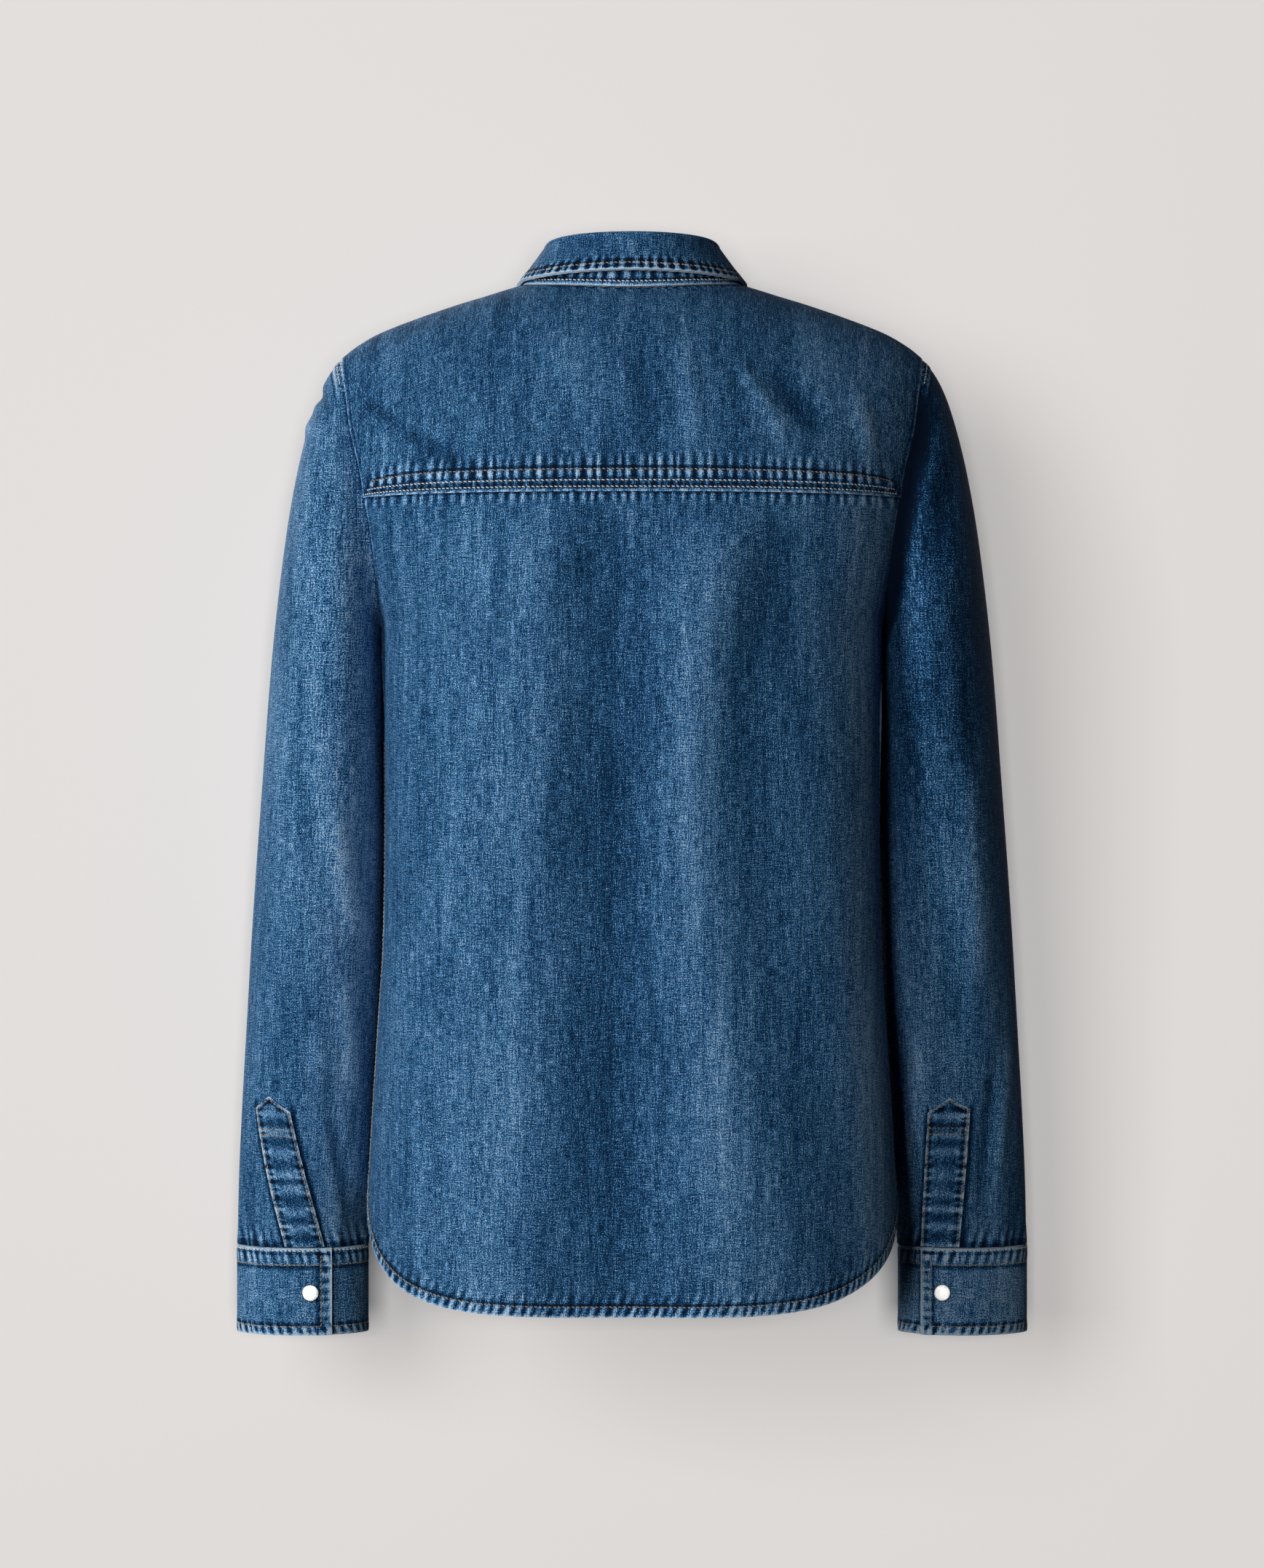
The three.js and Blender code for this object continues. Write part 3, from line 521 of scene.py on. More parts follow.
def yoke_relief(u, v, points, edges):
    on_seam = ease(u, rim_part - 0.01, rim_part + 0.005) * ease(1 - u, rim_part - 0.01, rim_part + 0.005)
    seam = edges["bottom"]
    ripple = puckers(points[..., 0], 6.2, 11)
    fine = puckers(points[..., 0], 5.1, 12)
    raised = 0.9 * (1 - ease(seam, 13.5, 16))
    height = on_seam * (raised + 0.55 * ripple * bump(seam - 10.5, 5.5) + 0.3 * fine * bump(seam - 1, 5))
    height -= on_seam * 0.4 * (bump(seam - 3, 1.3) + bump(seam - 7, 1.3) + bump(seam - 14, 1.4))
    height += on_seam * 0.35 * ripple * bump(seam - 17, 7)
    wear_and_painted_light = on_seam * (2.8 * ripple * bump(seam - 10.8, 4.8) + 1.7 * ripple * bump(seam - 18, 9))
    # Painted shade: a band between the stitch rows at 3 and 7 mm, dark with pale flecks, and dark lines
    # beside the row at 7 mm and past the raised seam, where the cloth dips.
    wear_and_painted_light += on_seam * (edge_wear_and_painted_shade(seam, points[..., 0], 15) + (1.6 * fine - 0.8) * bump(seam - 5, 3.2))
    wear_and_painted_light -= on_seam * (1.3 * bump(seam - 8.6, 1.4) + 2 * bump(seam - 15.2, 1.7))
    neck_ripple = puckers(points[..., 0] + points[..., 1], 6.5, 13)
    wear_and_painted_light += 0.9 * neck_ripple * bump(edges["top"], 8) - 1.6 * bump(edges["top"], 2.4)
    height += 0.25 * neck_ripple * bump(edges["top"], 7)
    rim = (1 - on_seam) * bump(seam, 8)
    wear_and_painted_light += rim * 0.3 * puckers(points[..., 2], 5.5, 14)
    wear_and_painted_light += (1 - on_seam) * 0.8 * edge_wear_and_painted_shade(seam, points[..., 2], 16)
    creased = creases(points, yoke_crease_rows)
    # The yoke's tone is painted lighter towards the wearer's right: painted light where the lamps leave it
    # darker.
    return height + creased, wear_and_painted_light + 0.3 * creased + 0.25 * ease(-points[..., 0], 60, 130)


yoke_across = steps_between(0, (rim_part, rim_columns), (1 - rim_part, seam_columns), (1, rim_columns))
yoke_down = steps_between(0, (0.06, 6), (0.8, 30), (1, 30))
yoke = cloth_piece(
    "back_yoke", yoke_across, yoke_down, yoke_place, yoke_relief,
    flip=-1, grain=yoke_grain,
)

# Back panel: one piece of the same denim from the yoke seam to a curved shirt-tail hem, which is
# turned up narrow and stitched once. Washing has pulled the hem into slanted ropes.
hem_low_z = {True: -644, False: -627}
hem_side_z = -571
hem_curve = 2.9
underarm_z = -215


def turn_of(points, back):
    """The turn round the body of points on it, from the middle of the back or the front."""
    x, y, z = points[..., 0], points[..., 1], points[..., 2]
    share = np.clip(np.abs(y) / (depth(z, back) * fill(ridge(x) - z, back)), 0, 1)
    return np.sign(x) * np.degrees(np.arccos(share ** (power(z) / 2)))


def turn_at_x(x, z):
    """The turn at which a panel lies at a distance x from the middle."""
    share = np.abs(x) / read(body_rows, z)
    return np.sign(x) * np.degrees(np.arcsin(share ** (power(z) / 2)))


def body_place(chart, back):
    turn, z = chart[..., 0], chart[..., 1]
    x = read(body_rows, z) * np.sign(sine(turn)) * np.abs(sine(turn)) ** (2 / power(z))
    filled = depth(z, back) * fill(ridge(x) - z, back)
    y = filled * np.abs(cosine(turn)) ** (2 / power(z)) + side_gap
    return np.stack([x, y if back else -y, z], -1)


def pair(turn, z):
    return np.stack(np.broadcast_arrays(turn, z), -1)


def patch(top, bottom, start, end, u, v):
    """A place between four edges, blended from them."""
    zero = 0 * u
    one = zero + 1
    across = u[..., None]
    down = v[..., None]
    mixed = top(u) * (1 - down) + bottom(u) * down + start(v) * (1 - across) + end(v) * across
    mixed -= top(zero) * (1 - across) * (1 - down) + top(one) * across * (1 - down)
    return mixed - bottom(zero) * (1 - across) * down - bottom(one) * across * down


def hem_z(turn, back):
    return mix(hem_low_z[back], hem_side_z, (np.abs(turn) / 90) ** hem_curve)


def side_edge(start_turn, back, rim_share, share):
    """A panel's side: down the armhole rim to the underarm, then down the side seam."""
    rim = shoulder_point(*rim_chart(mix(start_turn, 180, np.clip(share / rim_share, 0, 1)), back))
    seam_z = mix(underarm_z, hem_side_z, (share - rim_share) / (1 - rim_share))
    on_rim = share <= rim_share
    return pair(np.where(on_rim, turn_of(rim, back), 90), np.where(on_rim, rim[..., 2], seam_z))


def mirrored(chart):
    return chart * np.array([-1, 1])


def underarm_swell(seam, z):
    """Height of the thick corner where the side seam meets the armhole."""
    return 1.4 * (1 - ease(seam, 2, 16)) * bump(z + 232, 40)


def hem_relief(along, from_hem, seed):
    """Height and tone of a narrow stitched hem with slanted ropes: rubbed pale on the ropes and the fold,
    with painted shade just above the raised hem.
    """
    slanted = along + 0.5 * from_hem
    rope = puckers(slanted, 5.9, seed)
    raised = 0.7 * (1 - ease(from_hem, 6, 8))
    height = raised + 0.5 * rope * bump(from_hem - 4, 6) - 0.35 * bump(from_hem - 6.3, 1.3)
    height += 0.2 * puckers(slanted, 6.6, seed + 1) * bump(from_hem - 11, 7)
    wear_and_painted_light = 2.4 * rope * bump(from_hem - 3.5, 6) + 2 * bump(from_hem, 2)
    wear_and_painted_light += puckers(slanted, 6.6, seed + 1) * bump(from_hem - 10, 7) - 1.7 * bump(from_hem - 7.6, 1.6)
    return height, wear_and_painted_light


back_rim_share = 0.2
back_start_turn = rim_turn_at(yoke_seam_z - seam_gap, True)
back_corner = turn_of(shoulder_point(*rim_chart(np.array(back_start_turn), True)), True)


def back_place(u, v):
    def top(share):
        return pair(mix(-back_corner, back_corner, share), yoke_seam_z - seam_gap)

    def bottom(share):
        return pair(mix(-90, 90, share), hem_z(mix(-90, 90, share), True))

    def end(share):
        return side_edge(back_start_turn, True, back_rim_share, share)
    return body_place(patch(top, bottom, lambda share: mirrored(end(share)), end, u, v), True)


def back_relief(u, v, points, edges):
    height, wear_and_painted_light = hem_relief(edges["left"], edges["bottom"], 21)
    folds = back_folds(points[..., 0], points[..., 2]) * ease(edges["top"], 0, 45)
    folds = folds * ease(edges["left"], 4, 40) * ease(edges["right"], 4, 40)
    height = height + back_fold_height * folds
    # Fold ridges are rubbed paler; the wearer's right of the back is painted lighter: painted light where the
    # lamps leave it darker.
    wear_and_painted_light = wear_and_painted_light + 0.34 * folds + 0.2 * ease(-points[..., 0], 70, 120) + 0.5 * ease(-points[..., 0], 118, 150)
    ripple = puckers(points[..., 0], 6.2, 11)
    height = height + 0.5 * ripple * bump(edges["top"], 9) - 0.5 * (1 - ease(edges["top"], 0, 5))
    # Puckers under the yoke seam, paler on their ridges, and painted shade along the top edge under the
    # yoke's raised edge.
    wear_and_painted_light = wear_and_painted_light + 1.8 * ripple * bump(edges["top"] - 2, 7) - 1.2 * bump(edges["top"], 1.6)
    for side, seed in (("left", 22), ("right", 23)):
        seam = edges[side]
        below = ease(-points[..., 2], 225, 240)
        tug = puckers(-points[..., 2], 7, seed)
        wear_and_painted_light = wear_and_painted_light + (1 - below) * 0.55 * edge_wear_and_painted_shade(seam, points[..., 2], seed)
        height = height + below * (0.6 * (1 - ease(seam, 8, 10)) + 0.3 * tug * bump(seam - 4, 7))
        height = height + underarm_swell(seam, points[..., 2])
        wear_and_painted_light = wear_and_painted_light + below * (0.8 * bump(seam - 8.5, 2) + 0.5 * tug * bump(seam - 4, 7))
    return height, wear_and_painted_light


def even_columns(place, count, v=0.5, shape=4000):
    """Shares across a piece that lie at even distances along one of its rows."""
    fine = np.linspace(0, 1, shape)
    points = place(fine[None, :], np.full((1, shape), v))
    along = cumulative(points, 1)[0]
    return np.interp(np.linspace(0, along[-1], count + 1), along, fine)


# The back falls in soft folds, down two ridges with a valley after each, seen from the left.
back_fold_rows = [
    # height, the x of a ridge, a valley, a ridge and a valley, in mm
    (-640, 80, 10, -58, -134), (-560, 79, 12, -56, -130), (-440, 75, 14, -46, -98),
    (-300, 66, 16, -37, -82), (-145, 64, 18, -58, -94),
]
back_fold_levels = (0, 0.8, -1.2, 1.1, -0.7, 0.2)
back_fold_height = 3.8


def back_folds(x, z):
    """Height of the back's soft folds, from -1 in the valleys to 1 on the ridges."""
    sides = read(body_rows, z) * 0.98
    stops = [sides] + [read(back_fold_rows, z, column) for column in (1, 2, 3, 4)] + [-sides]
    height = 0 * x
    for k in range(5):
        height = height + (back_fold_levels[k + 1] - back_fold_levels[k]) * ease(-x, -stops[k], -stops[k + 1])
    return height


back_across = even_columns(back_place, 280)
back_down = steps_between(0, (0.03, 10), (0.966, 112), (1, 12))
back = cloth_piece(
    "back_panel", back_across, back_down, back_place, back_relief, middle=0.5,
)

# Fronts: two plain panels that meet at the middle, where the left one passes under the placket.
# Their necks, yoke seams, armholes and hems are made as on the back.
yoke_rim_share = 5 / 21
neck_part = 5 / 11
front_edge_x = -15


def yoke_front_seam(share):
    neck_x, neck_root = neck_chart(np.array(yoke_front_neck_turn), -neck_clearance)
    rim_x, rim_root = rim_chart(np.array(yoke_front_rim_turn), False)
    root = mix(neck_root, rim_root, share)
    return mix(neck_x, rim_x, share), -np.sqrt(root * root + seam_gap)


def front_place(side):
    edge_x = front_edge_x if side > 0 else 0.3 - front_edge_x
    close_turn = 180 - math.degrees(math.asin(edge_x / neck_half_width))

    def top(share):
        fade = np.clip(share / neck_part, 0, 1)
        neck_x, neck_root = neck_chart(mix(close_turn, yoke_front_neck_turn, fade), -neck_clearance)
        neck_root = -np.sqrt(neck_root ** 2 + fade * seam_gap)
        seam_share = np.clip((share - neck_part) / (1 - neck_part), 0, 1)
        seam_x, seam_root = yoke_front_seam(seam_share)
        on_neck = share <= neck_part
        point = shoulder_point(np.where(on_neck, neck_x, seam_x), np.where(on_neck, neck_root, seam_root))
        return pair(turn_of(point, False), point[..., 2])

    def bottom(share):
        turn = mix(turn_at_x(edge_x, np.array(hem_low_z[False])), 90, share)
        return pair(turn, hem_z(turn, False))

    def start(share):
        z = mix(top(0 * share)[..., 1], hem_low_z[False], share)
        return pair(turn_at_x(edge_x, z), z)

    def end(share):
        low = side_edge(yoke_front_rim_turn, False, yoke_rim_share, share)
        return np.where((share == 0)[..., None], top(0 * share + 1), low)

    def place(u, v):
        chart = patch(top, bottom, start, end, u, v)
        return body_place(chart if side > 0 else mirrored(chart), False)
    return place


def front_relief(seed):
    def relief(u, v, points, edges):
        height, wear_and_painted_light = hem_relief(edges["left"], edges["bottom"], seed)
        tug = puckers(-points[..., 2], 7, seed + 3)
        seam = edges["right"]
        below = ease(-points[..., 2], 225, 240)
        wear_and_painted_light = wear_and_painted_light + below * 0.5 * tug * bump(seam - 2, 8)
        ripple = puckers(points[..., 0], 6, seed + 4)
        height = height + 0.3 * ripple * bump(edges["top"], 7) + underarm_swell(seam, points[..., 2])
        # Painted shade along the top edge, under the yoke and collar that lie over it.
        wear_and_painted_light = wear_and_painted_light + 0.5 * ripple * bump(edges["top"] - 2, 7) - 0.8 * bump(edges["top"], 2)
        return height, wear_and_painted_light
    return relief


front_across = steps_between(0, (neck_part, 70), (1, 70))
front_down = steps_between(0, (0.025, 8), (0.968, 104), (1, 10))
fronts = {}
for name, side, seed in (("front_left", 1, 31), ("front_right", -1, 41)):
    fronts[side] = cloth_piece(
        name, front_across, front_down, front_place(side), front_relief(seed),
        flip=-side, middle=0,
    )

# Front placket: a strip sewn on to the right front's edge, from the collar seam to the hem, with
# six snaps. It covers the left front's edge.
placket_half_width = 16
placket_lift = 1.5
placket_neck_gap = 2.2


def front_placket_place(u, v):
    x = mix(-placket_half_width, placket_half_width, u)
    neck_turn = 180 - np.degrees(np.arcsin(x / neck_half_width))
    top_z = shoulder_point(*neck_chart(neck_turn, -placket_neck_gap))[..., 2]
    z = mix(top_z, hem_low_z[False], v)
    points = body_place(pair(turn_at_x(x, z), z), False)
    lift = placket_lift + 0.6 * (1 - ease(v, 0.985, 1))
    return points + body_normal(points + np.array([0, side_gap, 0])) * lift[..., None]


def front_placket_relief(u, v, points, edges):
    from_side = np.minimum(edges["left"], edges["right"])
    from_end = np.minimum(edges["top"], edges["bottom"])
    ripple = puckers(-points[..., 2], 5.5, 51)
    height = 0.25 * ripple * bump(from_side - 2, 4) - 0.25 * bump(from_side - 3, 1.2)
    wear_and_painted_light = edge_wear_and_painted_shade(from_side, points[..., 2], 52) + 1.2 * bump(from_end, 2)
    wear_and_painted_light += 1.3 * ripple * bump(from_side - 2, 4)
    return height, wear_and_painted_light


placket_across = steps_between(0, (1, 22))
placket_down = steps_between(0, (1, 330))
front_placket = cloth_piece(
    "front_placket", placket_across, placket_down, front_placket_place, front_placket_relief,
    flip=-1,
)

# Collar: a stand that is sewn into the neck seam, and a pointed leaf that folds over it. Both are
# doubled denim with a stiffener.
stand_inset = 1.7
stand_top_half_width = 50.5
stand_top_depth = {True: 42, False: 66}
stand_top_rows = [
    # turn from the middle of the back, height in mm
    (-60, 23.5), (0, 25), (60, 23.5), (90, 20), (120, 11), (150, -6), (180, -17), (210, -6),
]
leaf_edge_rows = [
    # turn, and the outer edge's x, y, z in mm
    (-30, -38, 49, 4.4), (0, 0, 56, 5.4), (30, 38, 49, 4.4), (60, 63, 29, 2.8), (90, 71.5, 2, 2.4),
    (112, 73, -26, -1.6), (135, 67, -60, -26), (152, 55, -84, -54), (169, 38, -98, -80),
]
leaf_end_turn = 169
fold_share = 0.16
fold_rise = 2.2
fold_width = 5


def stand_point(turn, rise):
    low = shoulder_point(*neck_chart(turn, stand_inset))
    half_depth = np.where(cosine(turn) > 0, stand_top_depth[True], stand_top_depth[False])
    high = np.stack([
        stand_top_half_width * sine(turn), half_depth * cosine(turn), read(stand_top_rows, np.abs(turn)),
    ], -1)
    return mix(low, high, rise[..., None])


def leaf_point(turn, fall):
    top = stand_point(turn, 0 * turn + 1)
    away = top / np.array([stand_top_half_width, stand_top_depth[False], 1]) * np.array([1, 1, 0])
    away /= np.linalg.norm(away, axis=-1, keepdims=True)
    fold_turn = 180 * np.minimum(fall / fold_share, 1)
    folded = top + away * (fold_width / 2 * (1 - cosine(fold_turn)))[..., None]
    folded[..., 2] += fold_rise + fold_width / 2 * sine(fold_turn)
    side = np.abs(turn)
    mirror = np.where(turn < 0, -1, 1)
    edge = np.stack([
        mirror * read(leaf_edge_rows, side, 1), read(leaf_edge_rows, side, 2), read(leaf_edge_rows, side, 3),
    ], -1)
    return mix(folded, edge, np.maximum(0, (fall - fold_share) / (1 - fold_share))[..., None])


stand_end_turn = math.degrees(math.asin(-front_edge_x / neck_half_width))


def stand_place(u, v):
    return stand_point(mix(stand_end_turn - 180 + 0.3, 180 + stand_end_turn, u), 1 - v)


def stand_relief(u, v, points, edges):
    from_neck = edges["bottom"]
    ripple = puckers(edges["left"].max() * u, 7.8, 61)
    height = 0.4 * ripple * bump(from_neck - 6, 7) - 0.3 * bump(from_neck - 3.4, 1.2)
    # Pale at the neck seam and on the pucker ridges, with painted shade just past the stitch row.
    wear_and_painted_light = 2.6 * ripple * bump(from_neck - 8, 7) + 2.8 * bump(from_neck, 1.8) - 2 * bump(from_neck - 4.2, 1.5)
    return height, wear_and_painted_light


collar_cloth = 2
stand = cloth_piece(
    "collar_stand", steps_between(0, (1, 280)), steps_between(0, (0.6, 10), (1, 12)),
    stand_place, stand_relief, middle=0.5, thickness=collar_cloth,
)


def leaf_place(u, v):
    return leaf_point(mix(-leaf_end_turn, leaf_end_turn, u), v)


def leaf_relief(u, v, points, edges):
    from_edge = edges["bottom"]
    from_point = np.minimum(edges["left"], edges["right"])
    ripple = puckers(edges["left"].max() * u, 7.8, 62)
    side_ripple = puckers(from_edge, 6, 63)
    height = 0.45 * ripple * bump(from_edge - 4, 7) - 0.3 * bump(from_edge - 5, 1.3)
    height += 0.25 * side_ripple * bump(from_point - 4, 6)
    # A pale folded edge and pale pucker ridges, with painted shade either side of the stitch row.
    wear_and_painted_light = 3.2 * ripple * bump(from_edge - 4.6, 7) + 3.4 * bump(from_edge, 1.7)
    wear_and_painted_light -= 1.2 * bump(from_edge - 2.8, 1.4) + 2.2 * bump(from_edge - 6.4, 1.7)
    wear_and_painted_light += 1.2 * side_ripple * bump(from_point - 4, 6) + 2.2 * bump(from_point, 2)
    wear_and_painted_light += 0.5 * bump(v - 0.09, 0.06)
    return height, wear_and_painted_light


leaf = cloth_piece(
    "collar_leaf", steps_between(0, (1, 300)), steps_between(0, (fold_share, 12), (0.8, 14), (1, 14)),
    leaf_place, leaf_relief, middle=0.5, thickness=collar_cloth,
)

# Sleeves: one piece each, sewn into a tube down the inner side and felled on to the armhole. The
# fullness at the wrist is tucked into the cuff.
sleeve_rows = [
    # ring, outer x, outer z, left inner x, right inner x, inner z, middle y, half depth, in mm
    (0, 184.5, -46, 158.8, 158.8, -215, 0, 49), (1, 192, -54, 161, 161.2, -218, -1, 52),
    (2, 199.5, -69, 162, 162.5, -222, -2, 56), (3, 206.5, -91, 162, 162.5, -228, -4, 60),
    (4, 213, -118, 161.5, 162.5, -237, -6, 63), (5, 219, -150, 160.5, 162, -250, -9, 65),
    (6, 224, -185, 159.8, 161.3, -268, -12, 65), (7, 228.8, -225, 159, 160.8, -292, -16, 63),
    (8, 233, -270, 158.4, 160.3, -322, -20, 60), (9, 237, -320, 158.2, 160.2, -359, -24, 57),
    (10, 241, -370, 158.8, 160.8, -399, -28, 54), (11, 244.5, -420, 160, 162, -441, -31, 51),
    (12, 247.5, -470, 162.5, 164.3, -484, -33, 47), (13, 250.5, -520, 166, 167.3, -528, -35, 42),
    (14, 252.8, -568, 169, 170, -571, -36, 36), (15, 253.8, -613, 171, 172.5, -613, -36, 30),
]
outer_x, outer_z, inner_z, mid_y, half_depth = 1, 2, 5, 6, 7
inner_x_column = {1: 3, -1: 4}
last_ring = 15
rim_fade_rings = 5
rim_drop = 1.4
tuck_rows = {
    # turn, half width in degrees, depth in mm
    1: [(30, 22, 2.8), (148, 24, 2.4), (285, 26, 2.6)],
    -1: [(35, 24, 2.8), (70, 20, 2), (285, 26, 2.6)],
}
tuck_length_rings = 1.3


def ring_point(ring, inner_x, turn):
    """A point of a sleeve's plain ring, turned from the outer line (0) round the back (90)."""
    outer = np.stack([read(sleeve_rows, ring, outer_x), read(sleeve_rows, ring, outer_z)], -1)
    inner = np.stack([read(sleeve_rows, ring, inner_x), read(sleeve_rows, ring, inner_z)], -1)
    middle = (outer + inner) / 2
    place = middle + (outer - middle) * cosine(turn)[..., None]
    y = read(sleeve_rows, ring, mid_y) + read(sleeve_rows, ring, half_depth) * sine(turn)
    return np.stack([place[..., 0], y, place[..., 1]], -1), middle


def rim_frame(turn):
    """The left armhole's rim and the way straight out of the body there."""
    wrapped = np.mod(turn, 360)
    rim_turn = np.where(wrapped <= 180, wrapped, 360 - wrapped)
    back_rim = shoulder_point(*rim_chart(rim_turn, True))
    front_rim = shoulder_point(*rim_chart(rim_turn, False))
    rim = np.where((wrapped <= 180)[..., None], back_rim, front_rim)
    return rim, body_normal(rim)


def sleeve_point(side, turn, ring):
    points, middle = ring_point(ring, inner_x_column[side], turn)
    rim, rim_out = rim_frame(turn)
    rim = rim - rim_out * rim_drop
    plain, _ = ring_point(0 * ring, inner_x_column[1], np.mod(turn, 360))
    fade = np.clip(1 - ring / rim_fade_rings, 0, 1) ** 2
    points = points + (rim - plain) * fade[..., None]
    inward = np.stack([middle[..., 0] - points[..., 0], read(sleeve_rows, ring, mid_y) - points[..., 1]], -1)
    inward /= np.linalg.norm(inward, axis=-1, keepdims=True)
    towards_cuff = ease(ring, last_ring - tuck_length_rings, last_ring)
    for tuck_turn, width, deep in tuck_rows[side]:
        apart = np.abs(np.mod(turn - tuck_turn + 180, 360) - 180)
        pushed = deep * towards_cuff * bump(apart, width)
        points[..., :2] += inward * pushed[..., None]
    return points * np.array([side, 1, 1])


sleeve_crease_rows = {
    # as for the yoke, on the outer side's own x
    1: [(197, -500, 178, -600, 8, -2.2), (204, -470, 190, -540, 8, 1.4), (190, -330, 172, -420, 12, 2),
        (214, -300, 196, -400, 12, -1.6), (182, -440, 176, -520, 9, 1.6), (206, -64, 186, -80, 7, -3),
        (214, -84, 190, -100, 8, 2)],
    -1: [(176, -200, 190, -330, 13, 0.8), (212, -300, 222, -440, 14, 2.2), (196, -380, 206, -470, 12, -1.8),
         (184, -470, 178, -560, 8, 1.6), (232, -500, 222, -590, 9, -2), (240, -480, 232, -570, 8, 1.6),
         (196, -110, 188, -190, 14, -3)],
}


sleeve_lap = 3
sleeve_mm_per_degree = 0.75
arm_rows = {
    # cuff edge turn, snap turn, placket turn at its top and bottom, top ring, half width in turn
    1: (118, 99, 61, 95, 13.05, 17),
    -1: (131, 111, 100, 114, 13, 18),
}


def sleeve_relief(side, seed):
    def relief(u, v, points, edges):
        from_rim = edges["top"] - sleeve_lap
        near_top = 1 - ease(-points[..., 2], 52, 82)
        ripple = puckers(edges["left"] + 0.5 * from_rim, 4.6, seed)
        height = near_top * (0.7 * (1 - ease(from_rim, 7, 9)) + 0.4 * ripple * bump(from_rim - 4, 5))
        # The felled strip at the shoulder: pale edges and pale pucker ridges from washing, and painted shade
        # just past it.
        wear_and_painted_light = near_top * (2.4 * bump(from_rim - 1.2, 1.7) + 2.4 * bump(from_rim - 7.6, 1.9))
        wear_and_painted_light += near_top * (3.2 * ripple * bump(from_rim - 4.2, 4) - 1.8 * bump(from_rim - 10, 1.7))
        # Painted shadow along the sleeve beside the edges of the panels that lie over it, below the shoulder.
        wear_and_painted_light -= (1 - near_top) * 1.5 * bump(from_rim - 1, 4)
        # Painted shade on the right sleeve: a dark band within about 26 mm of the armhole below the shoulder,
        # where the body's shadow falls, and darker along its outer line, which turns from the lamps.
        if side < 0:
            wear_and_painted_light -= 2.6 * (1 - ease(from_rim, 8, 26)) * ease(-points[..., 2], 55, 100)
            wear_and_painted_light -= 0.9 * bump(u, 40)
        height += 1.3 * bump(180 - np.abs(u), 60) * bump(points[..., 2] + 236, 42) * ease(from_rim, 2, 10)
        from_cuff = edges["bottom"]
        gather = puckers(edges["left"], 7.5, seed + 1)
        height += 0.6 * gather * bump(from_cuff, 20)
        # Gathers above the cuff, paler and darker by turns, and painted shade just above the cuff's edge.
        wear_and_painted_light += 1.5 * gather * bump(from_cuff, 19) - 2.2 * bump(from_cuff - 1.2, 2.6)
        # Painted light and shade: the right sleeve darker at the top and paler towards the cuff; the left
        # sleeve paler, less so near the cuff, and most on its inner side.
        if side < 0:
            wear_and_painted_light += 0.65 * ease(-points[..., 2], 260, 460) - 0.35
        else:
            wear_and_painted_light += 0.45 * bump(np.abs(u) - 135, 48)
            wear_and_painted_light += 0.4 - 0.3 * ease(-points[..., 2], 300, 480)
        _, _, top_turn, bottom_turn, top_ring, half_turn = arm_rows[side]
        down = (v - top_ring) / (last_ring - top_ring)
        beyond = (np.abs(u - mix(top_turn, bottom_turn, down)) - half_turn) * sleeve_mm_per_degree
        # Painted shadow on the sleeve just outside the raised placket's edges.
        wear_and_painted_light -= 1.8 * bump(beyond - 1.2, 2.6) * ease(v, top_ring - 0.1, top_ring)
        creased = creases(points * np.array([side, 1, 1]) + np.array([0, 60, 0]), sleeve_crease_rows[side])
        behind = ease(points[..., 1], -30, -5)
        height += creased * behind
        wear_and_painted_light += 0.22 * creased * behind
        seam = np.minimum(edges["left"], edges["right"])
        tug = puckers(-points[..., 2], 7, seed + 2)
        height += 0.5 * (1 - ease(seam, 6, 8)) + 0.25 * tug * bump(seam - 3, 7)
        wear_and_painted_light += 0.7 * bump(seam - 6.5, 2) + 0.6 * tug * bump(seam - 4, 7)
        return height, wear_and_painted_light
    return relief


def sleeve_place(side):
    """The sleeve from its lap (ring -1 to 0), which lies under the edges of the yoke and panels."""
    def place(turn, ring):
        points = sleeve_point(side, turn, np.maximum(ring, 0))
        rim, out = rim_frame(turn)
        out = out * np.array([side, 1, 1])
        round_rim = (rim_frame(turn + 1)[0] - rim_frame(turn - 1)[0]) * np.array([side, 1, 1])
        inward = np.cross(round_rim, out) * side
        inward /= np.linalg.norm(inward, axis=-1, keepdims=True)
        return points + np.clip(-ring, 0, 1)[..., None] * inward * sleeve_lap
    return place


def sleeve_grain(side):
    """Straight grain: threads by height, and by the distance round the sleeve's axis."""
    def grain(turn, ring, points):
        axis_x = 190 - 0.044 * (points[..., 2] + 100)
        axis_y = 0.066 * (points[..., 2] + 118) - 6
        angle = np.unwrap(np.arctan2(points[..., 1] - axis_y, points[..., 0] * side - axis_x), axis=1)
        middle = angle[:, angle.shape[1] // 2, None]
        angle = angle - 2 * np.pi * np.round(middle / (2 * np.pi))
        return 45 * angle, -points[..., 2]
    return grain


sleeve_across = steps_between(-180, (180, 150))
sleeve_down = steps_between(-1, (0, 2), (0.6, 14), (14.3, 118), (last_ring, 12))
sleeves = {}
for name, side, seed in (("sleeve_left", 1, 71), ("sleeve_right", -1, 81)):
    sleeves[side] = cloth_piece(
        name, sleeve_across, sleeve_down, sleeve_place(side), sleeve_relief(side, seed),
        flip=-side, closed=True, grain=sleeve_grain(side),
    )

# Sleeve plackets: pointed strips that bind the slits above the cuffs, stitched round their edges
# and twice across under the point.
point_rings = 0.18
sleeve_placket_lift = 1.7


